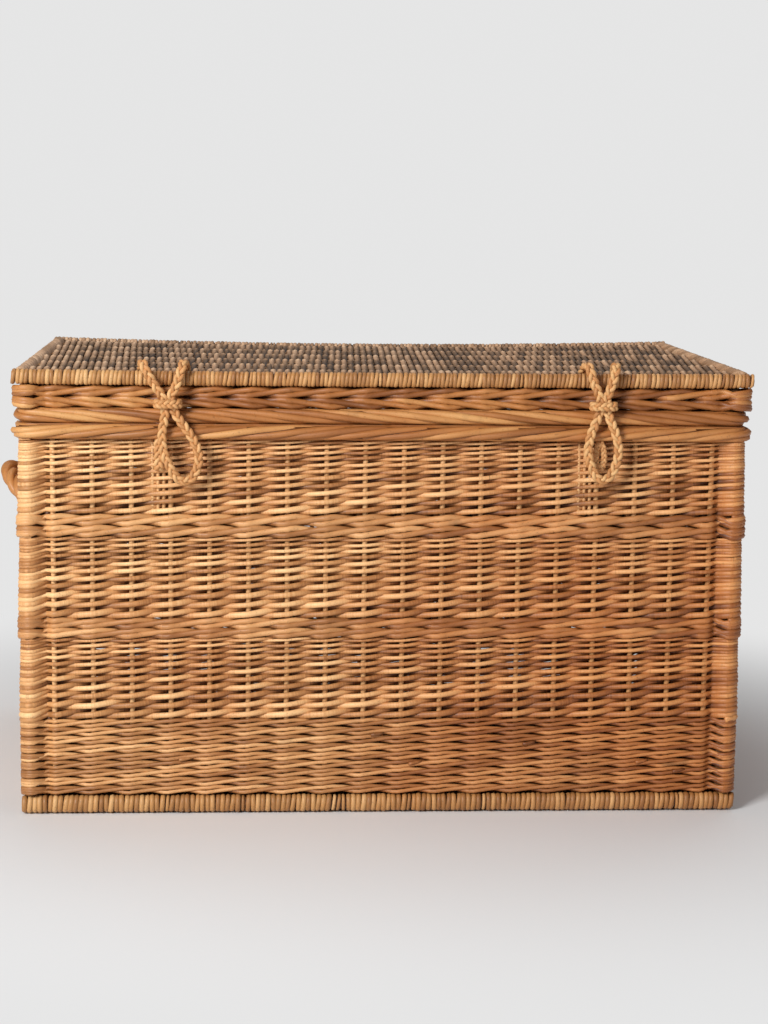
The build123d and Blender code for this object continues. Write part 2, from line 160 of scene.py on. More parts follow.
@dataclass(frozen=True)
class WillowFinish:
    """Peeled willow, with shades from strand to strand, marks along each one, and a tint that deepens to the
    right: partly real stain, partly painted shade.
    """

    name: str
    dark: tuple[float, float, float]
    low: tuple[float, float, float]
    high: tuple[float, float, float]
    pale: tuple[float, float, float]
    # Tint multiplied in by a share that rises towards +X and in random patches: partly a real stain, partly
    # painted shade where the light falls off to the right.
    stain_and_shade: tuple[float, float, float]
    stain_and_shade_share: float = 0.35
    roughness: float = 0.55
    grain: float = 0.35
    grain_scale: float = 950.0
    grain_depth: float = 0.0006
    mark_scale: float = 14.0
    strand_spread: float = 61.0
    speck_scale: float = 420.0
    patch_scale: float = 3.4
    tone_gain: float = 0.72
    tone_shift: float = -0.14
    mark_gain: float = 0.55
    dark_stop: float = 0.06
    low_stop: float = 0.34
    high_stop: float = 0.6
    pale_stop: float = 0.88
    # Runs of the tint's share: its rise towards +X is partly painted shade, and its random patches are real
    # stain.
    rightward_stain_and_shade_run: tuple[float, float] = (-0.35, 0.45)
    rightward_stain_and_shade_share: float = 0.38
    stain_and_shade_run: tuple[float, float] = (0.46, 0.9)
    knot_run: tuple[float, float] = (0.66, 0.78)
    knot_share: float = 0.65
    speck_run: tuple[float, float] = (0.6, 0.75)
    speck_share: float = 0.4
    smoother: float = 0.12
    rougher: float = 0.18

    def material(self) -> bpy.types.Material:
        """Build the node material, or give the one that is already built.

        Returns:
            The finish as a Blender material.
        """
        if self.name in bpy.data.materials:
            return bpy.data.materials[self.name]
        made = bpy.data.materials.new(self.name)
        made.use_nodes = True
        tree = made.node_tree
        shader = tree.nodes["Principled BSDF"]
        tone = self._attribute(tree, "tone")
        run = self._attribute(tree, "run")
        place = tree.nodes.new("ShaderNodeTexCoord")

        along = tree.nodes.new("ShaderNodeCombineXYZ")
        self._scaled(tree, run, self.mark_scale, along.inputs["X"])
        self._scaled(tree, tone, self.strand_spread, along.inputs["Y"])
        marks = self._noise(tree, along.outputs["Vector"], 1.0, 3.0)
        speck = self._noise(tree, place.outputs["Object"], self.speck_scale, 2.0)
        patch = self._noise(tree, place.outputs["Object"], self.patch_scale, 2.0)

        shade = tree.nodes.new("ShaderNodeMath")
        shade.operation = "MULTIPLY_ADD"
        shade.inputs[1].default_value = self.tone_gain
        shade.inputs[2].default_value = self.tone_shift
        tree.links.new(tone, shade.inputs[0])
        blend = tree.nodes.new("ShaderNodeMath")
        blend.operation = "MULTIPLY_ADD"
        blend.inputs[1].default_value = self.mark_gain
        tree.links.new(marks, blend.inputs[0])
        tree.links.new(shade.outputs[0], blend.inputs[2])
        ramp = tree.nodes.new("ShaderNodeValToRGB")
        ramp.color_ramp.elements[0].position = self.dark_stop
        ramp.color_ramp.elements[0].color = linear(self.dark)
        ramp.color_ramp.elements[1].position = self.pale_stop
        ramp.color_ramp.elements[1].color = linear(self.pale)
        for position, colour in ((self.low_stop, self.low), (self.high_stop, self.high)):
            ramp.color_ramp.elements.new(position).color = linear(colour)
        tree.links.new(blend.outputs[0], ramp.inputs["Fac"])

        parts = tree.nodes.new("ShaderNodeSeparateXYZ")
        tree.links.new(place.outputs["Object"], parts.inputs["Vector"])
        # The tint's share rises towards +X, the right, and in random patches: partly real stain, partly
        # painted shade where the light falls off.
        rightward_stain_and_shade = self._ramped(tree, parts.outputs["X"], self.rightward_stain_and_shade_run, self.rightward_stain_and_shade_share)
        spread = tree.nodes.new("ShaderNodeMath")
        tree.links.new(rightward_stain_and_shade, spread.inputs[0])
        tree.links.new(patch, spread.inputs[1])
        stain_and_shade_share = self._ramped(tree, spread.outputs[0], self.stain_and_shade_run, self.stain_and_shade_share)
        stained_and_shaded = self._mix(tree, stain_and_shade_share, ramp.outputs["Color"], linear(self.stain_and_shade), "MULTIPLY")
        knots = self._ramped(tree, marks, self.knot_run, self.knot_share)
        knotted = self._mix(tree, knots, stained_and_shaded, linear(self.dark))
        specks = self._ramped(tree, speck, self.speck_run, self.speck_share)
        speckled = self._mix(tree, specks, knotted, linear(self.dark))
        tree.links.new(speckled, shader.inputs["Base Color"])

        rough = tree.nodes.new("ShaderNodeMapRange")
        rough.inputs["To Min"].default_value = self.roughness - self.smoother
        rough.inputs["To Max"].default_value = self.roughness + self.rougher
        tree.links.new(marks, rough.inputs["Value"])
        tree.links.new(rough.outputs["Result"], shader.inputs["Roughness"])

        grain = self._noise(tree, place.outputs["Object"], self.grain_scale, 3.0)
        bump = tree.nodes.new("ShaderNodeBump")
        bump.inputs["Strength"].default_value = self.grain
        bump.inputs["Distance"].default_value = self.grain_depth
        tree.links.new(grain, bump.inputs["Height"])
        tree.links.new(bump.outputs["Normal"], shader.inputs["Normal"])
        return made

    @staticmethod
    def _attribute(tree: bpy.types.NodeTree, name: str) -> bpy.types.NodeSocket:
        """Read a strand's own value.

        Args:
            tree: The material's nodes.
            name: Name of the value.

        Returns:
            The value's socket.
        """
        node = tree.nodes.new("ShaderNodeAttribute")
        node.attribute_name = name
        return node.outputs["Fac"]

    @staticmethod
    def _scaled(
        tree: bpy.types.NodeTree, value: bpy.types.NodeSocket, factor: float, target: bpy.types.NodeSocket
    ) -> None:
        """Multiply a value on its way to a socket.

        Args:
            tree: The material's nodes.
            value: Value to scale.
            factor: Number to multiply by.
            target: Socket that takes the product.
        """
        node = tree.nodes.new("ShaderNodeMath")
        node.operation = "MULTIPLY"
        node.inputs[1].default_value = factor
        tree.links.new(value, node.inputs[0])
        tree.links.new(node.outputs[0], target)

    @staticmethod
    def _noise(
        tree: bpy.types.NodeTree, vector: bpy.types.NodeSocket, scale: float, detail: float
    ) -> bpy.types.NodeSocket:
        """Add a noise over a vector.

        Args:
            tree: The material's nodes.
            vector: Where the noise is read.
            scale: Its scale.
            detail: Its detail.

        Returns:
            The noise value's socket.
        """
        node = tree.nodes.new("ShaderNodeTexNoise")
        node.inputs["Scale"].default_value = scale
        node.inputs["Detail"].default_value = detail
        tree.links.new(vector, node.inputs["Vector"])
        return node.outputs["Fac"]

    @staticmethod
    def _ramped(
        tree: bpy.types.NodeTree, value: bpy.types.NodeSocket, run: tuple[float, float], top: float
    ) -> bpy.types.NodeSocket:
        """Raise a share from nothing to its full value over a run of values.

        Args:
            tree: The material's nodes.
            value: Value that sets the share.
            run: Values at which the share starts and is full.
            top: The full share.

        Returns:
            The share's socket.
        """
        node = tree.nodes.new("ShaderNodeMapRange")
        node.inputs["From Min"].default_value = run[0]
        node.inputs["From Max"].default_value = run[1]
        node.inputs["To Max"].default_value = top
        tree.links.new(value, node.inputs["Value"])
        return node.outputs["Result"]

    @staticmethod
    def _mix(
        tree: bpy.types.NodeTree,
        share: bpy.types.NodeSocket,
        under: bpy.types.NodeSocket,
        over: tuple[float, float, float, float],
        way: str = "MIX",
    ) -> bpy.types.NodeSocket:
        """Lay a colour over another by a share.

        Args:
            tree: The material's nodes.
            share: How much of the upper colour shows.
            under: The lower colour.
            over: The upper colour.
            way: How the upper colour is laid.

        Returns:
            The mixed colour's socket.
        """
        node = tree.nodes.new("ShaderNodeMix")
        node.data_type = "RGBA"
        node.blend_type = way
        tree.links.new(share, node.inputs["Factor"])
        tree.links.new(under, node.inputs[6])
        node.inputs[7].default_value = over
        return node.outputs[2]


GOLDEN = WillowFinish(
    "golden_rods", (0.35, 0.20, 0.09), (0.64, 0.425, 0.235), (0.82, 0.60, 0.38), (0.96, 0.775, 0.55),
    stain_and_shade=(0.87, 0.73, 0.60), stain_and_shade_share=0.9, roughness=0.46,
)
BORDER = WillowFinish(
    "border_rods", (0.31, 0.17, 0.06), (0.56, 0.345, 0.165), (0.73, 0.49, 0.265), (0.89, 0.69, 0.44),
    stain_and_shade=(0.88, 0.76, 0.65), stain_and_shade_share=0.8, roughness=0.46,
)
WEATHERED = WillowFinish(
    "weathered_rods", (0.18, 0.12, 0.08), (0.52, 0.40, 0.29), (0.75, 0.60, 0.47), (0.89, 0.75, 0.61),
    stain_and_shade=(0.90, 0.84, 0.77), stain_and_shade_share=0.6, roughness=0.6,
)
EDGE = WillowFinish(
    "edge_wraps", (0.30, 0.17, 0.08), (0.59, 0.40, 0.22), (0.74, 0.54, 0.32), (0.86, 0.68, 0.46),
    stain_and_shade=(0.89, 0.79, 0.68), stain_and_shade_share=0.6, roughness=0.48,
)
STICK = WillowFinish(
    "stick_rods", (0.40, 0.26, 0.13), (0.64, 0.45, 0.26), (0.78, 0.58, 0.37), (0.88, 0.71, 0.50),
    stain_and_shade=(0.89, 0.78, 0.66), stain_and_shade_share=0.8,
)
PLAIT = WillowFinish(
    "plaited_rush", (0.42, 0.25, 0.12), (0.64, 0.42, 0.23), (0.79, 0.57, 0.35), (0.89, 0.72, 0.50),
    stain_and_shade=(0.92, 0.82, 0.71), stain_and_shade_share=0.6, roughness=0.6, grain=0.5,
)


class StrandBundle:
    """Many willow strands gathered into one mesh."""

    def __init__(self, sides: int = 6) -> None:
        """Start an empty bundle.

        Args:
            sides: Sides of each strand.
        """
        self.sides = sides
        self.coords: list[np.ndarray] = []
        self.quads: list[np.ndarray] = []
        self.marks: list[np.ndarray] = []
        self.tones: list[np.ndarray] = []
        self.runs: list[np.ndarray] = []
        self.vertices = 0
        self.strands = 0

    def add(
        self,
        lines: np.ndarray,
        thick: np.ndarray | float,
        out: np.ndarray,
        tones: np.ndarray,
        flat: np.ndarray | float = 1.0,
        closed: bool = False,
        painted_hollow_shade: tuple[float, float] | None = None,
    ) -> None:
        """Add strands of one length in points.

        Args:
            lines: Middle lines in millimetres, shaped (strands, points, 3).
            thick: Radius, for each point or for all.
            out: Direction that a strand's flat faces, for each point or for all.
            tones: Shade from 0 to 1, for each strand or for each of its points.
            flat: Share of the radius towards the flat, for each point or for all.
            closed: Whether each strand runs back into itself.
            painted_hollow_shade: Height of the middle of a flat weave, and how much painted shade darkens
                the strands near it.
        """
        count, points, _ = lines.shape
        radius = np.broadcast_to(np.asarray(thick, float), (count, points))
        facing = np.broadcast_to(out, (count, points, 3))
        shares = np.broadcast_to(np.asarray(flat, float), (count, points))
        shades = np.broadcast_to(tones if tones.ndim > 1 else tones[:, None], (count, points))
        if closed:
            tangent = np.roll(lines, -1, axis=1) - np.roll(lines, 1, axis=1)
        else:
            tangent = np.gradient(lines, axis=1)
            ends = (slice(None), [0, *range(points), points - 1])
            lines, radius, facing, tangent = lines[ends], radius[ends].copy(), facing[ends], tangent[ends]
            shares, shades = shares[ends], shades[ends]
            radius[:, [0, -1]] *= TIP_SHARE
            points += 2
        tangent = unit(tangent)
        normal = unit(facing - np.sum(facing * tangent, axis=-1, keepdims=True) * tangent)
        across = np.cross(tangent, normal)
        turn = 2 * math.pi * np.arange(self.sides) / self.sides
        flattened = shares[:, :, None, None] * normal[:, :, None, :]
        ring = np.cos(turn)[:, None] * flattened + np.sin(turn)[:, None] * across[:, :, None, :]
        verts = lines[:, :, None, :] + radius[:, :, None, None] * ring
        index = self.vertices + np.arange(count * points * self.sides).reshape(count, points, self.sides)
        here = index if closed else index[:, :-1]
        there = np.roll(index, -1, axis=1) if closed else index[:, 1:]
        quads = np.stack([here, np.roll(here, -1, 2), np.roll(there, -1, 2), there], axis=-1)
        spans = here.shape[1]
        along = np.arange(spans)[:, None] / spans
        round_ = np.arange(self.sides)[None, :] / self.sides
        step, wedge = 1 / spans, 1 / self.sides
        corner_u = np.stack([along, along, along + step, along + step], -1) + 0 * round_[..., None]
        corner_v = np.stack([round_, round_ + wedge, round_ + wedge, round_], -1) + 0 * along[..., None]
        strand = self.strands + np.arange(count)
        shape = (count, spans, self.sides, 4)
        marks = np.stack(
            [
                np.broadcast_to(strand[:, None, None, None], shape),
                np.broadcast_to(corner_u, shape),
                np.broadcast_to(corner_v, shape),
            ],
            axis=-1,
        )
        steps = np.linalg.norm(np.diff(lines, axis=1, prepend=lines[:, :1]), axis=-1)
        run = np.cumsum(steps, axis=1) * MM
        self.coords.append(verts.reshape(-1, 3) * MM)
        self.quads.append(quads.reshape(-1, 4))
        self.marks.append(marks.reshape(-1, 3))
        shades = np.repeat(shades[..., None], self.sides, axis=-1)
        # Painted shade: faces of the strand near the weave's middle height are darkened, as if shaded deep
        # between the crests.
        if painted_hollow_shade is not None:
            raised = np.clip((np.abs(verts[..., 2] - painted_hollow_shade[0]) - PAINTED_SHADE_HALF) / PAINTED_SHADE_FADE, 0, 1)
            shades = shades - painted_hollow_shade[1] * (1 - raised)
        self.tones.append(shades.reshape(-1))
        self.runs.append(np.repeat(run.reshape(-1), self.sides))
        self.vertices += count * points * self.sides
        self.strands += count

    def make(
        self,
        name: str,
        finish: WillowFinish,
        body: str | None,
        nodes: tuple[str, ...],
        sag: "LidSag | None" = None,
    ) -> bpy.types.Object:
        """Turn the bundle into a piece on a body.

        Args:
            name: Name of the piece.
            finish: Its finish.
            body: Body that it rides on, or None to leave the piece on no body.
            nodes: Solids that it stands for.
            sag: Settling of the lid, where the piece is on it.

        Returns:
            The new object.
        """
        coords = np.concatenate(self.coords)
        if sag is not None:
            coords = sag.settle(coords)
        quads = np.concatenate(self.quads)
        mesh = bpy.data.meshes.new(name)
        mesh.vertices.add(len(coords))
        mesh.vertices.foreach_set("co", coords.astype(np.float32).ravel())
        mesh.loops.add(quads.size)
        mesh.loops.foreach_set("vertex_index", quads.astype(np.int32).ravel())
        mesh.polygons.add(len(quads))
        mesh.polygons.foreach_set("loop_start", np.arange(0, quads.size, 4, dtype=np.int32))
        mesh.polygons.foreach_set("use_smooth", np.ones(len(quads), dtype=bool))
        mesh.update(calc_edges=True)
        for label, values in (("tone", self.tones), ("run", self.runs)):
            attribute = mesh.attributes.new(label, "FLOAT", "POINT")
            attribute.data.foreach_set("value", np.concatenate(values).astype(np.float32))
        marks = np.concatenate(self.marks)
        columns = max(1, round(self.strands / STRIPS_PER_COLUMN))
        rows = math.ceil(self.strands / columns)
        column, row = marks[:, 0] % columns, marks[:, 0] // columns
        flat_x = (column + MARGIN_ALONG + (1 - 2 * MARGIN_ALONG) * marks[:, 1]) / columns
        flat_y = (row + MARGIN_ROUND + (1 - 2 * MARGIN_ROUND) * marks[:, 2]) / rows
        flat = np.stack([flat_x, flat_y], -1)
        layer = mesh.uv_layers.new(name="OFBake")
        layer.data.foreach_set("uv", flat.astype(np.float32).ravel())
        piece = bpy.data.objects.new(name, mesh)
        bpy.context.scene.collection.objects.link(piece)
        mesh.materials.append(finish.material())
        if body is not None:
            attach(piece, body)
        if nodes:
            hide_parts(*nodes)
        LOG.info("%s: %d strands, %d faces", name, self.strands, len(quads))
        return piece


@dataclass(frozen=True)
class LidSag:
    """Settling of the old lid: its top has sunk most in the middle of the rear edge."""

    depth: float = 7.0
    half_length: float = 450.0
    half_depth: float = 300.0
    foot: float = 506.0
    top: float = 553.0

    def settle(self, coords: np.ndarray) -> np.ndarray:
        """Lower points of the lid's top, and the rim under it in proportion.

        Args:
            coords: Points in metres.

        Returns:
            The lowered points.
        """
        x, y, z = (coords / MM).T
        along = np.clip(1 - (x / self.half_length) ** 2, 0, 1)
        back = np.clip((y + self.half_depth) / (2 * self.half_depth), 0, 1)
        rise = np.clip((z - self.foot) / (self.top - self.foot), 0, 1)
        lowered = coords.copy()
        lowered[:, 2] -= self.depth * MM * along * (0.25 + 0.75 * back) * rise
        return lowered


@dataclass
class WallPlan:
    """Stakes and corner posts round the trunk, in the order that the weave meets them."""

    post_x: float = 428.5
    post_y: float = 278.5
    post_radius: float = 7.0
    wrap_radius: float = 13.5
    stake_x: float = 432.25
    stake_y: float = 282.25
    stake_half: float = 3.25
    run_x: float = 403.0
    run_y: float = 253.0
    stakes_x: int = 18
    stakes_y: int = 12
    shoulder: float = 10.0
    post_run: float = 5.0
    shoulder_share: float = 0.66
    valley_share: float = -0.45
    base: np.ndarray = field(init=False)
    reach: np.ndarray = field(init=False)
    half: np.ndarray = field(init=False)
    crest: np.ndarray = field(init=False)
    walls: dict[str, np.ndarray] = field(init=False)

    def __post_init__(self) -> None:
        """Lay out three guide points at each upright, for strands in front and behind."""
        line_x = np.linspace(-self.run_x, self.run_x, self.stakes_x)
        line_y = np.linspace(-self.run_y, self.run_y, self.stakes_y)
        self.walls = {
            "left": np.stack([np.full(self.stakes_y, -self.stake_x), line_y[::-1]], -1),
            "front": np.stack([line_x, np.full(self.stakes_x, -self.stake_y)], -1),
            "right": np.stack([np.full(self.stakes_y, self.stake_x), line_y], -1),
            "rear": np.stack([line_x[::-1], np.full(self.stakes_x, self.stake_y)], -1),
        }
        outs = {"left": (-1, 0), "front": (0, -1), "right": (1, 0), "rear": (0, 1)}
        corners = {"left": (-1, 1), "front": (-1, -1), "right": (1, -1), "rear": (1, 1)}
        before = {"left": "rear", "front": "left", "right": "front", "rear": "right"}
        base: list[np.ndarray] = []
        reach: list[np.ndarray] = []
        half: list[np.ndarray] = []
        for wall, places in self.walls.items():
            out = np.array(outs[wall], float)
            out_before = np.array(outs[before[wall]], float)
            slope = unit(out + out_before)
            way = np.array([-out[1], out[0]])
            sign = np.array(corners[wall], float)
            post = np.array([self.post_x, self.post_y]) * sign
            lean = np.array([-slope[1], slope[0]])
            behind = [post - self.post_run * lean, post, post + self.post_run * lean]
            base.append(np.stack([[post, post, post], behind]))
            reach.append(np.stack([[out_before, slope, out], [slope, slope, slope]]))
            half.append(np.repeat([[self.wrap_radius], [self.post_radius]], 3, axis=1))
            shifts = np.array([-1, 0, 1])[:, None] * self.shoulder * way
            for place in places:
                base.append(np.stack([place + shifts, place + shifts]))
                reach.append(np.broadcast_to(out, (2, 3, 2)))
                half.append(np.full((2, 3), self.stake_half))
        self.base = np.stack(base)
        self.reach = np.stack(reach)
        self.half = np.stack(half)
        self.crest = np.tile([self.shoulder_share, 1.0, self.shoulder_share], (len(base), 2, 1))
        self.crest[self.posts] = 1.0
        self.crest[np.roll(self.posts, 1), 0, 0] = self.valley_share
        self.crest[np.roll(self.posts, -1), 0, 2] = self.valley_share

    @property
    def count(self) -> int:
        """Number of uprights all the way round."""
        return len(self.base)

    @property
    def posts(self) -> np.ndarray:
        """Whether each upright is a corner post."""
        return self.half[:, 0, 1] > self.stake_half

    def guides(
        self, uprights: np.ndarray, front: np.ndarray, radius: np.ndarray
    ) -> tuple[np.ndarray, np.ndarray]:
        """Give the plan of strands that pass a run of uprights.

        Args:
            uprights: Upright at each pass, shaped (strands, passes).
            front: Whether each pass is in front.
            radius: Depth of the strand at each pass.

        Returns:
            Guide points shaped (strands, passes, 3, 2), and the outward directions there.
        """
        layer = np.where(front, 0, 1)
        base = self.base[uprights, layer]
        reach = self.reach[uprights, layer]
        half = self.half[uprights, layer]
        side = np.where(front, Side.FRONT.value, Side.BACK.value)[..., None]
        offset = side * (half + radius[..., None]) * self.crest[uprights, layer]
        return base + offset[..., None] * reach, reach


@dataclass
class RandBand:
    """French rand: a rod from each gap, in front of one stake and behind the next, climbing as it goes."""

    name: str
    nodes: tuple[str, ...]
    bottom: float
    height: float
    seed: int
    rows: int = 11
    tip_share: float = 0.5
    fill: float = 0.31
    depth_share: float = 0.9
    back_swell: float = 1.25
    wrap_depth: float = 0.7
    climb: float = 0.1
    wander: float = 0.5
    painted_shade: float = 0.5

    def build(self, plan: WallPlan) -> bpy.types.Object:
        """Weave the band round the plan.

        Args:
            plan: The uprights.

        Returns:
            The woven piece.
        """
        rng = np.random.default_rng(self.seed)
        shares = np.linspace(1, self.tip_share, self.rows)
        pitch = shares * self.height / shares.sum()
        edges = self.bottom + np.concatenate([[0], np.cumsum(pitch)])
        middles = (edges[1:] + edges[:-1]) / 2
        passes = np.arange(-1, 2 * self.rows)
        level = passes / 2
        rows = np.arange(self.rows)
        strands = np.arange(plan.count)
        uprights = (strands[:, None] + passes[None, :]) % plan.count
        front = (passes % 2 == 0) | plan.posts[uprights]
        radius = np.interp(level, rows, pitch) * self.fill
        radius = radius * rng.uniform(0.9, 1.08, (plan.count, 1))
        wraps = plan.posts[uprights]
        share = np.where(wraps, self.wrap_depth, self.depth_share)
        radius = radius * np.where(front, 1.0, self.back_swell)
        guides, reach = plan.guides(uprights, front, radius * share)
        spread = level[None, :, None] + np.array([-self.climb, 0, self.climb])
        inner = np.interp(spread, rows, middles)
        below = middles[0] + (spread - rows[0]) * pitch[0]
        above = middles[-1] + (spread - rows[-1]) * pitch[-1]
        z = np.where(spread < 0, below, np.where(spread > rows[-1], above, inner))
        z = z + rng.uniform(-self.wander, self.wander, (plan.count, len(passes), 1))
        points = np.concatenate([guides, z[..., None]], axis=-1).reshape(plan.count, -1, 3)
        facing = np.concatenate([reach, np.zeros_like(z)[..., None] + 0 * reach[..., :1]], axis=-1)
        # Passes behind the stakes are darkened: painted shade in the recess behind them.
        shades = rng.uniform(0.34, 1.1, (plan.count, 1)) - np.where(front, 0.0, self.painted_shade)
        bundle = StrandBundle()
        bundle.add(
            smooth(points, STEPS),
            smooth_values(np.repeat(radius, GUIDES, axis=1)),
            smooth(facing.reshape(plan.count, -1, 3), STEPS),
            smooth_values(np.repeat(shades, GUIDES, axis=1)),
            flat=smooth_values(np.repeat(share, GUIDES, axis=1)),
        )
        return bundle.make(self.name, GOLDEN, "trunk", self.nodes)


@dataclass
class WaleBand:
    """Three-rod wale: each rod in front of two stakes and behind the third, row over row."""

    name: str
    nodes: tuple[str, ...]
    bottom: float
    height: float
    slants: tuple[Slant, ...]
    seed: int
    body: str = "trunk"
    fill: float = 0.27
    lean: float = 0.25
    depth_share: float = 0.85
    most_depth: float = 3.3
    back_swell: float = 1.15
    palest: float = 0.8
    painted_shade: float = 0.45
    butts: int = 0
    butt_length: float = 15.0
    butt_stand: float = 4.5
    butt_rise: float = 2.0
    butt_share: float = 0.85
    creep: float = 0.35
    wander: float = 0.35
    lift_x: float = 0.0
    lift_reach: float = 14.0
    lift: float = 0.0
    finish: WillowFinish = GOLDEN

    def build(self, plan: WallPlan, sag: LidSag | None = None) -> bpy.types.Object:
        """Weave the band round the plan.

        Args:
            plan: The uprights.
            sag: Settling of the lid, where the band is on it.

        Returns:
            The woven piece.
        """
        rng = np.random.default_rng(self.seed)
        pitch = self.height / len(self.slants)
        uprights = np.arange(plan.count)
        radius = min(pitch * self.fill, self.most_depth / self.depth_share)
        bundle = StrandBundle()
        for row, slant in enumerate(self.slants):
            middle = self.bottom + (row + 0.5) * pitch
            rods = np.arange(3)
            phase = (uprights[None, :] + rods[:, None] + row) % 3
            front = (phase != 0) | plan.posts
            thick = radius * rng.uniform(0.94, 1.05, (3, plan.count)) * np.where(front, 1.0, self.back_swell)
            places = np.broadcast_to(uprights, phase.shape)
            guides, reach = plan.guides(places, front, thick * self.depth_share)
            lean = np.select([phase == 1, phase == 2], [-1.0, 1.0], 0.0)[..., None]
            creep = np.array([-self.creep, 0, self.creep]) * front[..., None]
            z = middle + slant.value * self.lean * pitch * (lean + creep)
            z = z + rng.uniform(-self.wander, self.wander, (3, plan.count, 1))
            if self.lift:
                aside = (np.abs(guides[..., 0]) - self.lift_x) / self.lift_reach
                near = np.exp(-(aside**2)) * (guides[..., 1] > 0)
                z = z + self.lift * near * (len(self.slants) - row) / len(self.slants)
            points = np.concatenate([guides, z[..., None]], axis=-1).reshape(3, -1, 3)
            facing = np.concatenate([reach, 0 * reach[..., :1]], axis=-1).reshape(3, -1, 3)
            bundle.add(
                smooth(points, STEPS, closed=True),
                smooth_values(np.repeat(thick, GUIDES, axis=1), closed=True),
                smooth(facing, STEPS, closed=True),
                np.repeat(self._stroke_shades(front, rng), GUIDES * STEPS, axis=1),
                flat=self.depth_share,
                closed=True,
            )
        if self.butts:
            self._add_butts(bundle, plan, radius, rng)
        return bundle.make(self.name, self.finish, self.body, self.nodes, sag)

    def _add_butts(
        self, bundle: StrandBundle, plan: WallPlan, radius: float, rng: np.random.Generator
    ) -> None:
        """Let the cut ends of a few rods show between the stakes.

        Args:
            bundle: Strands of the band.
            plan: The uprights.
            radius: Radius of the band's rods.
            rng: Source of their places.
        """
        stakes = rng.choice(np.flatnonzero(~plan.posts), self.butts, replace=False)
        place, out = plan.base[stakes, 0, 2], plan.reach[stakes, 0, 1]
        way = np.stack([-out[:, 1], out[:, 0]], -1)
        level = self.bottom + self.height * rng.uniform(0.15, 0.85, self.butts)
        along = np.linspace(0, 1, 4)[None, :, None]
        plan_line = place[:, None] + along * self.butt_length * way[:, None]
        stand = plan.stake_half + self.butt_stand * (1 - along)
        plan_line = plan_line + stand * out[:, None]
        z = level[:, None, None] + self.butt_rise * along
        facing = np.concatenate([out, np.zeros((self.butts, 1))], -1)[:, None]
        bundle.add(
            np.concatenate([plan_line, z], -1), radius * self.butt_share, facing,
            rng.uniform(0.1, 0.5, self.butts),
        )

    def _stroke_shades(self, front: np.ndarray, rng: np.random.Generator) -> np.ndarray:
        """Give each stroke of a rod, between its passes behind the stakes, its own random tone, and paint
        shade on the passes behind.

        Args:
            front: Whether each rod passes in front of each upright.
            rng: Source of the shades.

        Returns:
            A tone for each rod at each upright, darkened as painted shade where it passes behind.
        """
        stroke = np.cumsum(~front, axis=1)
        shades = rng.uniform(0.25, self.palest, (len(front), stroke.max() + 1))
        # Passes behind the stakes are darkened: painted shade in the recess behind them.
        return np.take_along_axis(shades, stroke, axis=1) - np.where(front, 0.0, self.painted_shade)


@dataclass
class StakeRow:
    """Upright stakes of one wall, or the thin liners beside the staples."""

    name: str
    node: str
    places: np.ndarray
    bottom: float
    top: float
    radius: float
    seed: int
    body: str = "trunk"
    points: int = 12
    wander: float = 0.3

    def build(self, sag: LidSag | None = None) -> bpy.types.Object:
        """Stand the stakes up.

        Args:
            sag: Settling of the lid, where the stakes are in it.

        Returns:
            The stakes as one piece.
        """
        rng = np.random.default_rng(self.seed)
        count = len(self.places)
        heights = np.linspace(self.bottom, self.top, self.points)[:, None]
        wander = rng.uniform(-self.wander, self.wander, (count, self.points, 2))
        plan = self.places[:, None, :] + wander
        lines = np.concatenate([plan, np.broadcast_to(heights, (count, self.points, 1))], -1)
        bundle = StrandBundle(sides=8)
        bundle.add(lines, self.radius, np.array([0.0, 1.0, 0.0]), rng.uniform(0.75, 1.0, count))
        return bundle.make(self.name, STICK, self.body, (self.node,), sag)


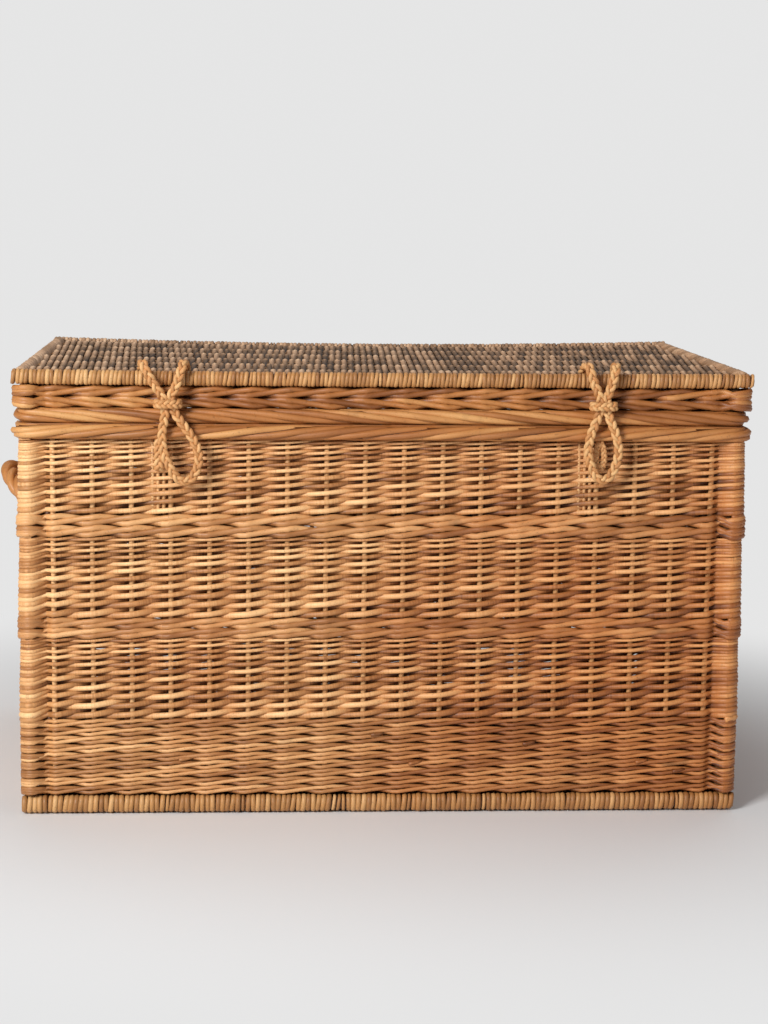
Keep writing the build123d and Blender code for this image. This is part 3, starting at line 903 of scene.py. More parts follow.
@dataclass
class RolledBorder:
    """Border of rods rolled round one another along a path, with a bed rod where it closes a gap."""

    name: str
    nodes: tuple[str, ...]
    path: np.ndarray
    half_width: float
    half_height: float
    slant: Slant
    seed: int
    body: str = "trunk"
    strands: int = 6
    lead: float = 330.0
    rod: float = 4.3
    step: float = 7.0
    core_depth: float = 1.1
    bed_in: float = 0.0
    bed_drop: float = 0.0
    bed_radius: float = 0.0
    slot: str = "golden_willow"
    finish: WillowFinish = BORDER

    def build(self, sag: LidSag | None = None) -> bpy.types.Object:
        """Roll the rods along the path.

        Args:
            sag: Settling of the lid, where the border is on its top.

        Returns:
            The border as one piece.
        """
        rng = np.random.default_rng(self.seed)
        middle = spaced(self.path, self.step)
        tangent = unit(np.gradient(middle, axis=0))
        out = unit(np.cross(tangent, np.array([0.0, 0.0, 1.0])))
        up = np.cross(out, tangent)
        run = np.concatenate([[0], np.cumsum(np.linalg.norm(np.diff(middle, axis=0), axis=1))])
        start = np.arange(self.strands) / self.strands + rng.uniform(-0.02, 0.02, self.strands)
        wide, tall = self.half_width - self.rod, self.half_height - self.rod
        rounds = self.slant.value * run[None, :] / self.lead + start[:, None]
        turn = self._even_turn(rounds, wide, tall)
        part = np.floor(rounds + 0.5).astype(int)
        part = part - part.min()
        shades = np.take_along_axis(rng.uniform(0.4, 0.85, (self.strands, part.max() + 1)), part, axis=1)
        radial = (
            wide * np.cos(turn)[..., None] * out[None] + tall * np.sin(turn)[..., None] * up[None]
        )
        thick = self.rod * rng.uniform(0.93, 1.06, (self.strands, 1))
        bundle = StrandBundle()
        bundle.add(middle[None] + radial, thick, unit(radial), shades)
        core = self.half_height - self.core_depth
        core_wide = min(core, self.half_width - 2 * self.core_depth) if wide == tall else wide
        # The core shows only in the gaps between the rods; its darkest tone is painted shade there.
        bundle.add(middle[None], core, out[None], np.array([0.0]), flat=core_wide / core)
        if self.bed_radius:
            bed = middle - self.bed_in * out - self.bed_drop * up
            bundle.add(bed[None, 1:-1], self.bed_radius, up[None, 1:-1], np.array([0.4]))
        return bundle.make(self.name, self.finish, self.body, self.nodes, sag)

    @staticmethod
    def _even_turn(share: np.ndarray, wide: float, tall: float) -> np.ndarray:
        """Find the angles that share out the way round an oval evenly.

        Args:
            share: Turns made, in whole rounds.
            wide: Half the oval's width.
            tall: Half the oval's height.

        Returns:
            The angle for each share.
        """
        angles = np.linspace(0, 2 * math.pi, 361)
        step = np.hypot(np.diff(wide * np.cos(angles)), np.diff(tall * np.sin(angles)))
        way = np.concatenate([[0], np.cumsum(step)]) / step.sum()
        rounds = np.floor(share)
        return 2 * math.pi * rounds + np.interp(share - rounds, way, angles)


def three_sides(half_x: float, front: float, rear: float, level: float, bend: float = 12.0) -> np.ndarray:
    """Path along the left, front and right of the trunk, with rounded corners.

    Args:
        half_x: Half the length between the side runs.
        front: Place of the front run, as a distance in front of the middle.
        rear: Where the side runs end at the rear.
        level: Height of the path.
        bend: Radius of the corners.

    Returns:
        The path's points.
    """
    arc = np.linspace(0, math.pi / 2, 7)
    left = np.stack([-half_x + bend - bend * np.cos(arc), -front + bend - bend * np.sin(arc)], -1)
    right = np.stack([half_x - bend + bend * np.sin(arc), -front + bend - bend * np.cos(arc)], -1)
    plan = np.concatenate([[[-half_x, rear]], left, right, [[half_x, rear]]])
    return np.concatenate([plan, np.full((len(plan), 1), level)], -1)


def straight(start: tuple[float, float, float], end: tuple[float, float, float]) -> np.ndarray:
    """Straight path between two points."""
    return np.array([start, end], float)


@dataclass
class BoundEdge:
    """Edge stick bound by the weavers that turn round it, one wrap beside another."""

    name: str
    node: str
    y: float
    z: float
    half_x: float
    half_width: float
    half_height: float
    pitch: float
    rod: float
    body: str
    seed: int
    finish: WillowFinish = EDGE
    slot: str = "golden_willow"
    points: int = 16
    roundness: float = 0.88
    flat: float = 0.7
    wander: float = 0.45
    lean: float = 0.7
    lean_spread: float = 0.9
    thin_chance: float = 0.08
    thin_share: float = 0.62
    core_share: float = 1.1
    core_spans: int = 24
    end_tone: float = 0.62
    painted_core_shade: float = 0.05

    def build(self, sag: LidSag | None = None) -> bpy.types.Object:
        """Wrap the edge from end to end.

        Args:
            sag: Settling of the lid, where the edge is on it.

        Returns:
            The wraps as one piece.
        """
        rng = np.random.default_rng(self.seed)
        count = int(2 * (self.half_x - self.rod) // self.pitch)
        x = np.linspace(-self.half_x + self.rod, self.half_x - self.rod, count)
        x = x + rng.uniform(-self.wander, self.wander, count)
        turn = 2 * math.pi * np.arange(self.points) / self.points
        wide = (self.half_width - self.rod) * self._squared(np.cos(turn))
        tall = (self.half_height - self.rod) * self._squared(np.sin(turn))
        scale = rng.uniform(0.95, 1.03, (count, 1))
        lean = rng.uniform(-self.lean_spread, self.lean_spread, (count, 1)) + self.lean
        lines = np.stack(
            [x[:, None] + lean * np.sin(turn), self.y + scale * wide, self.z + scale * tall], -1
        )
        radial = np.stack([np.zeros(self.points), wide, tall], -1)
        thin = rng.random((count, 1)) < self.thin_chance
        thick = self.rod * np.where(thin, self.thin_share, rng.uniform(0.9, 1.06, (count, 1)))
        tones = rng.uniform(0.3, 0.95, count)
        bundle = StrandBundle()
        bundle.add(lines, thick, unit(radial)[None], tones, flat=self.flat, closed=True)
        self._add_core(bundle)
        return bundle.make(self.name, self.finish, self.body, (self.node,), sag)

    def _squared(self, swing: np.ndarray) -> np.ndarray:
        """Fill a circle's swing out a little towards a square."""
        return np.sign(swing) * np.abs(swing) ** self.roundness

    def _add_core(self, bundle: StrandBundle) -> None:
        """Lay the stick inside the wraps, painted dark as shade where it shows between them, and pale at its
        cut ends.

        Args:
            bundle: Wraps of the edge.
        """
        ends = self.half_x - np.array([0.2, 1.2, 2.4])
        inner = np.linspace(4.0 - self.half_x, self.half_x - 4.0, self.core_spans)
        x = np.concatenate([-ends, inner, ends[::-1]])
        core = np.stack([x, np.full_like(x, self.y), np.full_like(x, self.z)], -1)
        # The core is painted dark as shade where it shows between the wraps; only its cut ends are pale.
        tones = np.where(np.abs(x) > self.half_x - 2.0, self.end_tone, self.painted_core_shade)
        half = self.half_height - self.core_share * self.rod
        flat = (self.half_width - self.core_share * self.rod) / half
        bundle.add(core[None], half, np.array([0.0, 1.0, 0.0]), tones[None], flat=flat)


@dataclass
class WovenPanel:
    """Flat weave of the lid or base: weavers from front to rear, over and under long sticks."""

    name: str
    nodes: tuple[str, ...]
    stick_name: str
    stick_node: str
    half_x: float
    half_y: float
    stick_z: float
    stick_half: float
    sticks: int
    pitch: float
    rod: float
    body: str
    seed: int
    finish: WillowFinish
    slot: str
    depth_share: float = 0.62
    painted_shade: float = 0.75
    shoulder: float = 9.0
    shoulder_share: float = 0.62
    tuck: float = 4.0
    tuck_share: float = 0.8
    wander: float = 0.5
    stick_points: int = 24

    def build(self, sag: LidSag | None = None) -> list[bpy.types.Object]:
        """Weave the panel.

        Args:
            sag: Settling of the lid, where the panel is its top.

        Returns:
            The weavers and the sticks.
        """
        rng = np.random.default_rng(self.seed)
        step = 2 * self.half_y / self.sticks
        stick_y = (np.arange(self.sticks) - (self.sticks - 1) / 2) * step
        count = int(2 * self.half_x // self.pitch)
        x = (np.arange(count) - (count - 1) / 2) * (2 * self.half_x / count)
        over = (np.arange(count)[:, None] + np.arange(self.sticks)[None, :]) % 2 == 0
        hump = np.array([self.shoulder_share, 1.0, self.shoulder_share])
        rise = np.where(over, 1.0, -1.0)[..., None] * hump
        rise = (rise * (self.stick_half + self.rod * self.depth_share)).reshape(count, -1)
        run = (stick_y[:, None] + np.array([-self.shoulder, 0.0, self.shoulder])).ravel()
        ends = np.stack([-rise[:, 0], -rise[:, -1]], -1) * self.tuck_share
        rise = np.concatenate([ends[:, :1], rise, ends[:, 1:]], axis=1)
        run = np.concatenate([[-self.half_y - self.tuck], run, [self.half_y + self.tuck]])
        wander = rng.uniform(-self.wander, self.wander, (count, len(run)))
        points = np.stack(
            [x[:, None] + wander, np.broadcast_to(run, rise.shape), self.stick_z + rise], axis=-1
        )
        swell = np.concatenate([[0.9], np.tile([0.92, 0.78, 0.92], self.sticks), [0.9]])
        thick = self.rod * rng.uniform(0.92, 1.06, (count, 1)) * swell
        shades = rng.uniform(0.5, 1.15, count)
        bundle = StrandBundle()
        # Painted shade: the weavers darken near the sticks' middle height, deep between the crests.
        bundle.add(
            smooth(points, STEPS), smooth_values(thick), np.array([0.0, 0.0, 1.0]), shades,
            flat=self.depth_share, painted_hollow_shade=(self.stick_z, self.painted_shade),
        )
        weave = bundle.make(self.name, self.finish, self.body, self.nodes, sag)
        shape = (self.sticks, self.stick_points)
        along = np.broadcast_to(np.linspace(-self.half_x, self.half_x, self.stick_points), shape)
        places = np.broadcast_to(stick_y[:, None], shape)
        lines = np.stack([along, places, np.full(shape, self.stick_z)], axis=-1)
        frame_sticks = StrandBundle(sides=8)
        frame_sticks.add(
            lines, self.stick_half, np.array([0.0, 0.0, 1.0]), rng.uniform(0.2, 0.8, self.sticks)
        )
        sticks = frame_sticks.make(
            self.stick_name, STICK, self.body, (self.stick_node,), sag
        )
        return [weave, sticks]


@dataclass
class BowHandle:
    """Bow handle of rods roped together, standing up and out from the end wall."""

    name: str
    side: int
    wall: float = 442.0
    height: float = 351.0
    spread: float = 170.0
    reach: float = 60.0
    rise: float = 45.0
    rods: int = 3
    rod: float = 5.6
    lead: float = 74.0
    radius: float = 11.4
    half_swing: float = 1.28
    points: int = 84
    core_share: float = 0.6

    def build(self) -> bpy.types.Object:
        """Rope the bow.

        Returns:
            The handle as one piece.
        """
        rng = np.random.default_rng(41 + self.side)
        bow = ((self.spread / 2) ** 2 + self.reach**2) / (2 * self.reach)
        lift = math.radians(self.rise)
        out = np.array([self.side * math.cos(lift), 0.0, math.sin(lift)])
        up = np.array([-self.side * math.sin(lift), 0.0, math.cos(lift)])
        middle = np.array([self.side * self.wall, 0.0, self.height]) + out * (self.reach - bow)
        swing = np.linspace(-self.half_swing, self.half_swing, self.points)
        radial = np.cos(swing)[:, None] * out + np.sin(swing)[:, None] * np.array([0.0, 1.0, 0.0])
        line = middle + bow * radial
        turn = 2 * math.pi * bow * swing / self.lead
        start = 2 * math.pi * np.arange(self.rods) / self.rods
        phase = turn[None, :] + start[:, None]
        around = np.cos(phase)[..., None] * radial[None] + np.sin(phase)[..., None] * up
        bundle = StrandBundle(sides=8)
        roped = line[None] + (self.radius - self.rod) * around
        bundle.add(roped, self.rod, around, rng.uniform(0.2, 0.8, self.rods))
        # The core shows only between the roped rods; its darkest tone is painted shade there.
        bundle.add(line[None], self.rod * self.core_share, radial[None], np.array([0.0]))
        return bundle.make(self.name, BORDER, "trunk", (self.name_of_node(),))

    def name_of_node(self) -> str:
        """Name of the solid that this handle stands for."""
        return "handle_left" if self.side < 0 else "handle_right"


@dataclass
class Plait:
    """Flat plait of three strands along a line."""

    width: float = 3.5
    rise: float = 1.7
    wave: float = 29.0

    def strands(self, line: np.ndarray, out: np.ndarray) -> tuple[np.ndarray, np.ndarray]:
        """Lay three strands over and under one another along a line.

        Args:
            line: Evenly sampled middle line, in millimetres.
            out: Direction of the plait's face at each point.

        Returns:
            The strands' lines, and the face directions.
        """
        tangent = unit(np.gradient(line, axis=0))
        face = unit(out - np.sum(out * tangent, axis=-1, keepdims=True) * tangent)
        across = np.cross(tangent, face)
        run = np.concatenate([[0], np.cumsum(np.linalg.norm(np.diff(line, axis=0), axis=1))])
        phase = 2 * math.pi * (run[None, :] / self.wave + np.arange(3)[:, None] / 3)
        sideways = self.width * np.sin(phase)[..., None] * across
        shift = sideways + self.rise * np.sin(2 * phase)[..., None] * face
        return line[None] + shift, np.broadcast_to(face, (3,) + face.shape)


@dataclass
class PlaitedHasp:
    """Plaited hasp: a cord tucked into the lid, over its front edge, round a loop and back."""

    name: str
    x: float
    route: tuple[tuple[float, float, float], ...]
    seed: int
    lid_front: float = 300.0
    lid_top: float = 553.05
    knot_level: float = 41.0
    knot_front: float = 8.4
    knot_half_length: float = 14.0
    knot_half_depth: float = 7.6
    knot_points: int = 96
    knot_strand: float = 2.5
    width: float = 0.0115
    strand: float = 2.6
    step: float = 1.6
    bend_inside: float = 6.0
    bend_rise: float = 5.3
    bend_rear: float = -276.0
    bend_front: float = -293.0

    def build(self) -> list[bpy.types.Object]:
        """Plait the cord and its knot.

        Returns:
            The cord and the knot.
        """
        rng = np.random.default_rng(self.seed)
        path = self._curve()
        inside = np.stack(
            [
                path[:, 0],
                np.full(len(path), self.bend_inside - self.lid_front),
                np.minimum(path[:, 2], self.lid_top - self.bend_inside),
            ],
            -1,
        )
        lines, face = Plait().strands(path, unit(path - inside))
        bundle = StrandBundle()
        bundle.add(lines, self.strand, face, rng.uniform(0.45, 0.95, 3))
        nodes = (f"{self.name}_cord", f"{self.name}_tucked_ends")
        cord = bundle.make(f"{self.name}_plait", PLAIT, None, nodes)
        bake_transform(cord)
        knot = self._knot(rng)
        return [cord, knot]

    def _curve(self) -> np.ndarray:
        """Read an even line off the smooth curve that the route guides.

        Returns:
            Points in millimetres.
        """
        data = bpy.data.curves.new(f"{self.name}_route", "CURVE")
        data.dimensions = "3D"
        data.resolution_u = 24
        spline = data.splines.new("NURBS")
        spline.points.add(len(self.route) - 1)
        for point, (across, out, up) in zip(spline.points, self.route):
            place = Vector((self.x + across, out - self.lid_front, self.lid_top + up)) * MM
            point.co = (*place, 1.0)
        spline.order_u = 3
        spline.use_endpoint_u = True
        holder = bpy.data.objects.new(f"{self.name}_route", data)
        bpy.context.scene.collection.objects.link(holder)
        bpy.context.view_layer.update()
        mesh = bpy.data.meshes.new_from_object(holder)
        line = np.array([vertex.co for vertex in mesh.vertices]) / MM
        bpy.data.objects.remove(holder)
        bpy.data.curves.remove(data)
        bpy.data.meshes.remove(mesh)
        return spaced(line, self.step)

    def _knot(self, rng: np.random.Generator) -> bpy.types.Object:
        """Plait the short bar that ties the two legs together.

        Args:
            rng: Source of the strands' shades.

        Returns:
            The knot.
        """
        turn = 2 * math.pi * np.arange(self.knot_points) / self.knot_points
        line = np.stack(
            [
                self.x + self.knot_half_length * np.sign(np.cos(turn)) * np.abs(np.cos(turn)) ** 0.7,
                -self.lid_front - self.knot_front + self.knot_half_depth * np.sin(turn),
                np.full(self.knot_points, self.lid_top - self.knot_level),
            ],
            -1,
        )
        line = np.concatenate([line, line[:2]])
        out = np.stack([np.cos(turn) * 0.5, np.sin(turn), 0 * turn], -1)
        out = np.concatenate([out, out[:2]])
        lines, face = Plait(width=3.4, rise=1.5, wave=20.0).strands(line, out)
        bundle = StrandBundle()
        bundle.add(lines, self.knot_strand, face, rng.uniform(0.4, 0.95, 3))
        nodes = (f"{self.name}_knot",)
        return bundle.make(f"{self.name}_knot_plait", PLAIT, self.name, nodes)


@dataclass
class Staple:
    """Short plaited staple under the front border, for a hasp's loop to go round."""

    name: str
    node: str
    x: float
    seed: int
    looped: bool
    wall: float = 292.0
    top: float = 468.0
    drop: float = 38.0
    step: float = 1.4
    loop_half: float = 5.0
    loop_stand: float = 4.6
    loop_inset: float = 2.6
    loop_strand: float = 2.3
    loop_points: int = 49
    strap_stand: float = 4.2
    strap_strand: float = 2.7
    strap_points: int = 16

    def build(self) -> bpy.types.Object:
        """Plait the strap or the loop.

        Returns:
            The staple.
        """
        rng = np.random.default_rng(self.seed)
        bundle = StrandBundle()
        if self.looped:
            line = spaced(self._loop_points(), self.step)
            out = np.broadcast_to(np.array([0.0, -1.0, 0.0]), line.shape)
            plait, strand = Plait(width=2.1, rise=1.5, wave=17.0), self.loop_strand
        else:
            line = spaced(self._strap_points(), self.step)
            out = np.cross(unit(np.gradient(line, axis=0)), np.array([1.0, 0.0, 0.0]))
            plait, strand = Plait(width=4.2, rise=1.6, wave=24.0), self.strap_strand
        lines, face = plait.strands(line, out)
        bundle.add(lines, strand, face, rng.uniform(0.5, 0.95, 3))
        return bundle.make(self.name, PLAIT, "trunk", (self.node,))

    def _loop_points(self) -> np.ndarray:
        """Go once round a narrow upright loop.

        Returns:
            Points in millimetres.
        """
        turn = np.linspace(0, 2 * math.pi, self.loop_points)
        middle, half = self.top - self.drop / 2, self.drop / 2 - self.loop_inset
        x = self.x + self.loop_half * np.sin(turn)
        y = np.full_like(turn, -self.wall - self.loop_stand)
        return np.stack([x, y, middle + half * np.cos(turn)], -1)

    def _strap_points(self) -> np.ndarray:
        """Go straight down the wall and turn into the weave.

        Returns:
            Points in millimetres.
        """
        bottom = self.top - self.drop
        hang = np.linspace(self.top, bottom + 6, self.strap_points)
        z = np.concatenate([hang, [bottom + 2.5, bottom + 1.5]])
        flat = np.full_like(hang, -self.wall - self.strap_stand)
        y = np.concatenate([flat, [-self.wall - 1.5, -self.wall + 4]])
        return np.stack([np.full_like(z, self.x), y, z], -1)


@dataclass
class HingeLoops:
    """Twisted willow loops round the rear border and the lid's rear rod."""

    places: tuple[float, float] = (-284.5, 284.5)
    y: float = 289.95
    low: float = 476.25
    high: float = 495.75
    reach: float = 11.9
    rod: float = 2.3
    points: int = 64
    twists: int = 5
    twist_wide: float = 2.1
    twist_deep: float = 1.2

    def build(self) -> bpy.types.Object:
        """Twist both loops.

        Returns:
            The loops as one piece.
        """
        rng = np.random.default_rng(77)
        bundle = StrandBundle()
        turn = 2 * math.pi * np.arange(self.points) / self.points
        straight_half = (self.high - self.low) / 2
        z = np.where(np.sin(turn) >= 0, straight_half, -straight_half) + self.reach * np.sin(turn)
        middle = (self.low + self.high) / 2
        ring = np.stack([0 * turn, self.y + self.reach * np.cos(turn), middle + z], -1)
        radial = np.stack([0 * turn, np.cos(turn), np.sin(turn)], -1)
        for place in self.places:
            phase = self.twists * turn[None, :] + math.pi * np.arange(2)[:, None]
            shift = self.twist_wide * np.cos(phase)[..., None] * np.array([1.0, 0.0, 0.0])
            shift = shift + self.twist_deep * np.sin(phase)[..., None] * radial
            lines = ring[None] + shift + np.array([place, 0.0, 0.0])
            bundle.add(lines, self.rod, radial[None], rng.uniform(0.2, 0.8, 2), closed=True)
        return bundle.make("hinge_loop_twists", BORDER, "trunk", ("hinge_loops",))


@dataclass
class Trunk:
    """Body of the trunk: base, woven walls, borders, handles, staples and hinge loops."""

    plan: WallPlan
    weave_bottom: float = 25.1
    band_heights: tuple[float, ...] = (95.0, 102.0, 24.0, 101.0, 28.0, 91.4)
    stake_radius: float = 3.3
    liner_radius: float = 2.2
    liner_shifts: tuple[float, ...] = (8.0, 15.0, 22.0)
    base_edge_y: float = 283.5
    base_edge_x: float = 433.5
    base_edge_half_width: float = 10.5
    base_edge_half_height: float = 12.4
    border_level: float = 476.25
    border_half_height: float = 9.5
    rear_border_y: float = 289.95
    rear_border_half: float = 454.0

    def build(self) -> None:
        """Build the base, then the walls from the floor up, then what is fixed to them."""
        self._base()
        self._walls()
        self._borders()
        for side, name in ((-1, "handle_left_rope"), (1, "handle_right_rope")):
            BowHandle(name, side).build()
        Staple("staple_left_plait", "staple_left", -274.0, 51, False).build()
        Staple("staple_right_loop", "staple_right", 262.0, 52, True).build()
        HingeLoops().build()

    def _base(self) -> None:
        """Bind the base edges and weave the base between them."""
        wide, tall = self.base_edge_half_width, self.base_edge_half_height
        for name, y, seed in (("front", -self.base_edge_y, 11), ("rear", self.base_edge_y, 12)):
            BoundEdge(
                f"base_edge_{name}_wraps", f"base_edge_{name}", y=y, z=tall, half_x=444.0,
                half_width=wide, half_height=tall, pitch=6.2, rod=3.5, body="trunk", seed=seed,
            ).build()
        for name, x, seed in (("left", -self.base_edge_x, 13), ("right", self.base_edge_x, 14)):
            RolledBorder(
                f"base_edge_{name}_rope", (f"base_edge_{name}",), straight((x, -272, 12.5), (x, 272, 12.5)),
                wide, tall, Slant.RISING, seed, rod=4.2, lead=90.0, strands=7,
            ).build()
        WovenPanel(
            "base_weave", ("base_floor_weave", "base_under_weave"), "base_stick_rods", "base_sticks",
            half_x=422.8, half_y=272.8, stick_z=13.1, stick_half=4.0, sticks=6, pitch=6.4, rod=4.6,
            body="trunk", seed=15, finish=GOLDEN, slot="inner_willow",
        ).build()

    def _walls(self) -> None:
        """Stand the stakes and weave the six bands round them."""
        feet = self.weave_bottom + np.concatenate([[0.0], np.cumsum(self.band_heights)])
        top, heights = feet[-1], self.band_heights
        for wall, seed in (("front", 21), ("rear", 22), ("left", 23), ("right", 24)):
            StakeRow(
                f"{wall}_stake_rods", f"{wall}_stakes", self.plan.walls[wall], feet[0], top,
                self.stake_radius, seed,
            ).build()
        stakes = self.plan.walls["front"][[3, -4]]
        liners = np.concatenate([stakes - np.array([shift, 0.0]) for shift in self.liner_shifts])
        StakeRow(
            "staple_liner_rods", "staple_liner_stakes", liners, feet[5], top, self.liner_radius, 25
        ).build()
        rising = (Slant.RISING,)
        inner = tuple(f"{wall}_inner_weave" for wall in ("front", "rear", "left", "right"))
        bands = (
            WaleBand(
                "upsett_strands", ("upsett_wale",), feet[0], heights[0], rising * 9, 31, fill=0.235, butts=14
            ),
            RandBand("lower_rand_strands", ("lower_rand",), feet[1], heights[1], 32),
            WaleBand("lower_wale_strands", ("lower_wale",), feet[2], heights[2], rising * 2, 33, fill=0.3),
            RandBand("middle_rand_strands", ("middle_rand",) + inner, feet[3], heights[3], 34),
            WaleBand("upper_wale_strands", ("upper_wale",), feet[4], heights[4], rising * 2, 35, fill=0.3),
            RandBand("upper_rand_strands", ("upper_rand",), feet[5], heights[5], 36),
        )
        for band in bands:
            band.build(self.plan)

    def _borders(self) -> None:
        """Roll the border round the top of the body, bedded under the lid's."""
        level, half = self.border_level, self.border_half_height
        y, end = self.rear_border_y, self.rear_border_half
        RolledBorder(
            "body_border_roll", ("border_front", "border_left", "border_right"),
            three_sides(440.0, 290.0, 280.0, level), 14.0, half, Slant.RISING, 41,
            bed_drop=-8.6, bed_radius=1.8,
        ).build()
        RolledBorder(
            "body_border_rear_roll", ("border_rear",), straight((end, y, level), (-end, y, level)),
            half, half, Slant.RISING, 42, rod=4.2, lead=170.0, bed_in=7.5, bed_drop=5.5, bed_radius=5.8,
        ).build()


@dataclass
class Lid:
    """Rimmed lid: bound edges, woven top, rim and its border with the rear hinge rod."""

    plan: WallPlan
    sag: LidSag
    border_level: float = 495.75
    border_half_height: float = 9.5
    hinge_y: float = 289.95
    rim_foot: float = 505.5
    rim_height: float = 26.3
    stake_radius: float = 3.3
    edge_level: float = 542.5
    edge_half_width: float = 9.0
    half_length: float = 450.0

    def build(self) -> None:
        """Build the border and rim, then the top."""
        self._border()
        self._rim()
        self._edges()
        WovenPanel(
            "lid_weave", ("lid_top_weave", "lid_under_weave"), "lid_stick_rods", "lid_sticks",
            half_x=431.8, half_y=281.8, stick_z=542.35, stick_half=4.0, sticks=6, pitch=4.3, rod=4.3,
            body="lid", seed=69, finish=WEATHERED, slot="weathered_willow",
        ).build(self.sag)

    def _border(self) -> None:
        """Roll the border, and the round rod at the rear that turns in the hinge loops."""
        level, half, end = self.border_level, self.border_half_height, self.half_length
        RolledBorder(
            "lid_border_roll", ("lid_border_front", "lid_border_left", "lid_border_right"),
            three_sides(437.0, 287.0, 280.0, level), 13.0, half, Slant.FALLING, 61, body="lid",
        ).build()
        RolledBorder(
            "lid_hinge_rod_roll", ("lid_hinge_rod",),
            straight((end, self.hinge_y, level), (-end, self.hinge_y, level)),
            half, half, Slant.FALLING, 62, body="lid", rod=4.2, lead=170.0,
        ).build()

    def _rim(self) -> None:
        """Stand the rim's stakes and weave it, lifted over the hinge loops."""
        places = np.concatenate(list(self.plan.walls.values()))
        top = self.rim_foot + self.rim_height
        StakeRow(
            "lid_rim_stake_rods", "lid_rim_stakes", places, self.rim_foot, top, self.stake_radius, 63, "lid"
        ).build(self.sag)
        inner = tuple(f"lid_rim_inner_{wall}" for wall in ("front", "rear", "left", "right"))
        # The rim takes the darker border finish: partly painted shade under the overhang of the lid's edge.
        WaleBand(
            "lid_rim_strands", ("lid_rim_wale",) + inner, self.rim_foot, self.rim_height,
            (Slant.FALLING, Slant.RISING), 64, body="lid", fill=0.3, most_depth=3.6, finish=BORDER,
            lift_x=284.5, lift=6.0,
        ).build(self.plan, self.sag)

    def _edges(self) -> None:
        """Bind the front and rear edges and rope the ends."""
        level, wide = self.edge_level, self.edge_half_width
        for name, y, seed, finish in (("front", -291.0, 65, EDGE), ("rear", 291.0, 66, WEATHERED)):
            BoundEdge(
                f"lid_edge_{name}_wraps", f"lid_edge_{name}", y=y, z=level, half_x=self.half_length,
                half_width=wide, half_height=10.5, pitch=5.0, rod=2.9, body="lid", seed=seed, finish=finish,
            ).build(self.sag)
        for name, x, seed in (("left", -441.0, 67), ("right", 441.0, 68)):
            RolledBorder(
                f"lid_edge_{name}_rope", (f"lid_edge_{name}",), straight((x, -282, level), (x, 282, level)),
                wide, 10.4, Slant.RISING, seed, body="lid", rod=4.4, lead=90.0, strands=4,
                slot="weathered_willow", finish=WEATHERED,
            ).build(self.sag)


LEFT_ROUTE = (
    (-33, 30, -7.0), (-32, 19, 5.0), (-29.8, -2, 8.6), (-28.5, -9, 3), (-15, -8.2, -20), (-0.5, -8.4, -41),
    (-10, -9.9, -89), (9, -9.9, -133), (29, -9.9, -136), (42, -9.9, -97), (-1.5, -8.4, -41), (10, -8.2, -20),
    (17, -9, 3), (18.3, -2, 8.6), (20, 19, 5.0), (21, 30, -7.0),
)
RIGHT_ROUTE = (
    (-21.5, 30, -7.0), (-21, 19, 5.0), (-19, -2, 8.6), (-17.8, -9, 3), (-9, -8.2, -20), (-0.5, -8.4, -41),
    (-22, -9.9, -92), (-7, -9.9, -131), (9, -9.9, -132), (24, -9.9, -92), (0.5, -8.4, -41), (8, -8.2, -20),
    (14.3, -9, 3), (15, -2, 8.6), (17, 19, 5.0), (18, 30, -7.0),
)


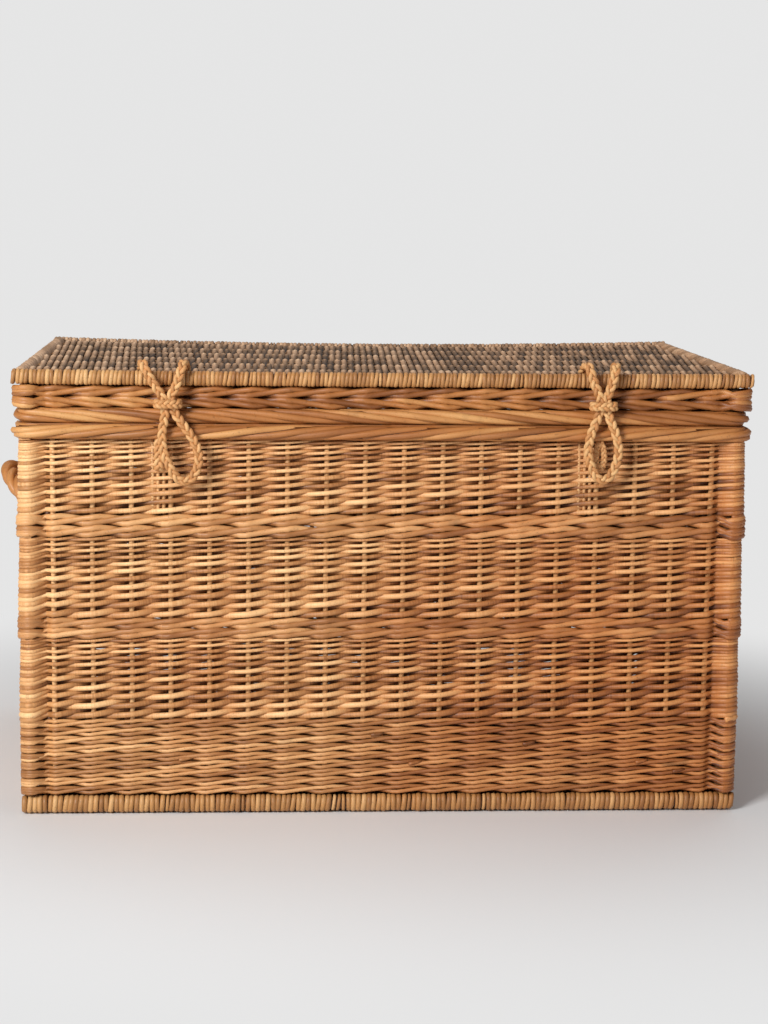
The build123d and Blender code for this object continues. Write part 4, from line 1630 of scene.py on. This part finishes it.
@dataclass
class Studio:
    """Plain pale floor, soft light and the camera at the photograph's place."""

    camera_at: tuple[float, float, float] = (-0.1687, -2.9177, 0.7648)
    yaw: float = 3.6514
    pitch: float = 8.3302
    roll: float = 0.6979
    focal_pixels: float = 2178.9
    image_height: int = 1024
    sensor: float = 36.0
    paper: tuple[float, float, float] = (0.90, 0.90, 0.90)
    backdrop: tuple[float, float, float] = (0.9, 0.9, 0.9)
    floor_half: float = 40.0
    fade_from: float = 0.5
    fade_to: float = 1.15
    room_light: float = 0.18

    def build(self) -> None:
        """Set the floor, the lights and the camera."""
        self._floor()
        self._lights()
        self._camera()
        bpy.context.scene.view_settings.view_transform = "Standard"

    def _floor(self) -> None:
        """Lay a plain paper floor that brightens evenly into the pale background."""
        half = self.floor_half
        mesh = bpy.data.meshes.new("paper_floor")
        corners = [(-half, -half, 0), (half, -half, 0), (half, half, 0), (-half, half, 0)]
        mesh.from_pydata(corners, [], [(0, 1, 2, 3)])
        floor = bpy.data.objects.new("paper_floor", mesh)
        bpy.context.scene.collection.objects.link(floor)
        paper = bpy.data.materials.new("pale_paper")
        paper.use_nodes = True
        tree = paper.node_tree
        shader = tree.nodes["Principled BSDF"]
        shader.inputs["Base Color"].default_value = linear(self.paper)
        shader.inputs["Roughness"].default_value = 0.9
        glow = tree.nodes.new("ShaderNodeEmission")
        glow.inputs["Color"].default_value = linear(self.backdrop)
        place = tree.nodes.new("ShaderNodeTexCoord")
        away = tree.nodes.new("ShaderNodeVectorMath")
        away.operation = "LENGTH"
        tree.links.new(place.outputs["Object"], away.inputs[0])
        fade = tree.nodes.new("ShaderNodeMapRange")
        fade.interpolation_type = "SMOOTHSTEP"
        fade.inputs["From Min"].default_value = self.fade_from
        fade.inputs["From Max"].default_value = self.fade_to
        tree.links.new(away.outputs["Value"], fade.inputs["Value"])
        mix = tree.nodes.new("ShaderNodeMixShader")
        tree.links.new(fade.outputs["Result"], mix.inputs["Fac"])
        tree.links.new(shader.outputs["BSDF"], mix.inputs[1])
        tree.links.new(glow.outputs["Emission"], mix.inputs[2])
        tree.links.new(mix.outputs["Shader"], tree.nodes["Material Output"].inputs["Surface"])
        mesh.materials.append(paper)

    def _lights(self) -> None:
        """Hang large soft lamps in a pale world that is plain to the eye."""
        world = bpy.data.worlds.new("pale_room")
        bpy.context.scene.world = world
        world.use_nodes = True
        tree = world.node_tree
        lit = tree.nodes["Background"]
        lit.inputs["Color"].default_value = (0.98, 0.98, 1.0, 1.0)
        lit.inputs["Strength"].default_value = self.room_light
        seen = tree.nodes.new("ShaderNodeBackground")
        seen.inputs["Color"].default_value = linear(self.backdrop)
        rays = tree.nodes.new("ShaderNodeLightPath")
        mix = tree.nodes.new("ShaderNodeMixShader")
        tree.links.new(rays.outputs["Is Camera Ray"], mix.inputs["Fac"])
        tree.links.new(lit.outputs["Background"], mix.inputs[1])
        tree.links.new(seen.outputs["Background"], mix.inputs[2])
        tree.links.new(mix.outputs["Shader"], tree.nodes["World Output"].inputs["Surface"])
        for name, place, size, power in (
            ("key_lamp", (-2.2, -3.0, 2.0), 1.2, 158.0),
            ("fill_lamp", (2.4, -2.4, 1.5), 2.2, 8.0),
            ("top_lamp", (0.3, 0.9, 3.0), 2.6, 26.0),
        ):
            lamp = bpy.data.lights.new(name, "AREA")
            lamp.size = size
            lamp.energy = power
            holder = bpy.data.objects.new(name, lamp)
            holder.location = place
            aim = Vector((0.0, 0.0, 0.3)) - Vector(place)
            holder.rotation_euler = aim.to_track_quat("-Z", "Y").to_euler()
            bpy.context.scene.collection.objects.link(holder)

    def _camera(self) -> None:
        """Stand the camera where the photograph was taken."""
        data = bpy.data.cameras.new("camera")
        data.sensor_width = self.sensor
        data.lens = self.focal_pixels * data.sensor_width / self.image_height
        camera = bpy.data.objects.new("camera", data)
        camera.location = self.camera_at
        aim = Euler((math.radians(90 - self.pitch), 0.0, math.radians(-self.yaw))).to_matrix()
        tilt = Euler((0.0, 0.0, math.radians(self.roll))).to_matrix()
        camera.rotation_euler = (aim @ tilt).to_euler()
        bpy.context.scene.collection.objects.link(camera)
        bpy.context.scene.camera = camera


def dress_posts() -> None:
    """Give the corner posts, which keep their solids, the willow finish."""
    for name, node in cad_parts.items():
        if "corner_post" in name:
            node.data.materials.clear()
            node.data.materials.append(STICK.material())


def main() -> None:
    """Build the trunk, its lid and hasps, then the studio."""
    logging.basicConfig(level=logging.INFO, format="%(message)s")
    Trunk(WallPlan()).build()
    Lid(WallPlan(wrap_radius=16.5, valley_share=0.66), LidSag()).build()
    PlaitedHasp("hasp_left", -263.0, LEFT_ROUTE, 81).build()
    PlaitedHasp("hasp_right", 263.0, RIGHT_ROUTE, 82).build()
    dress_posts()
    Studio().build()


if __name__ == "__main__":
    main()
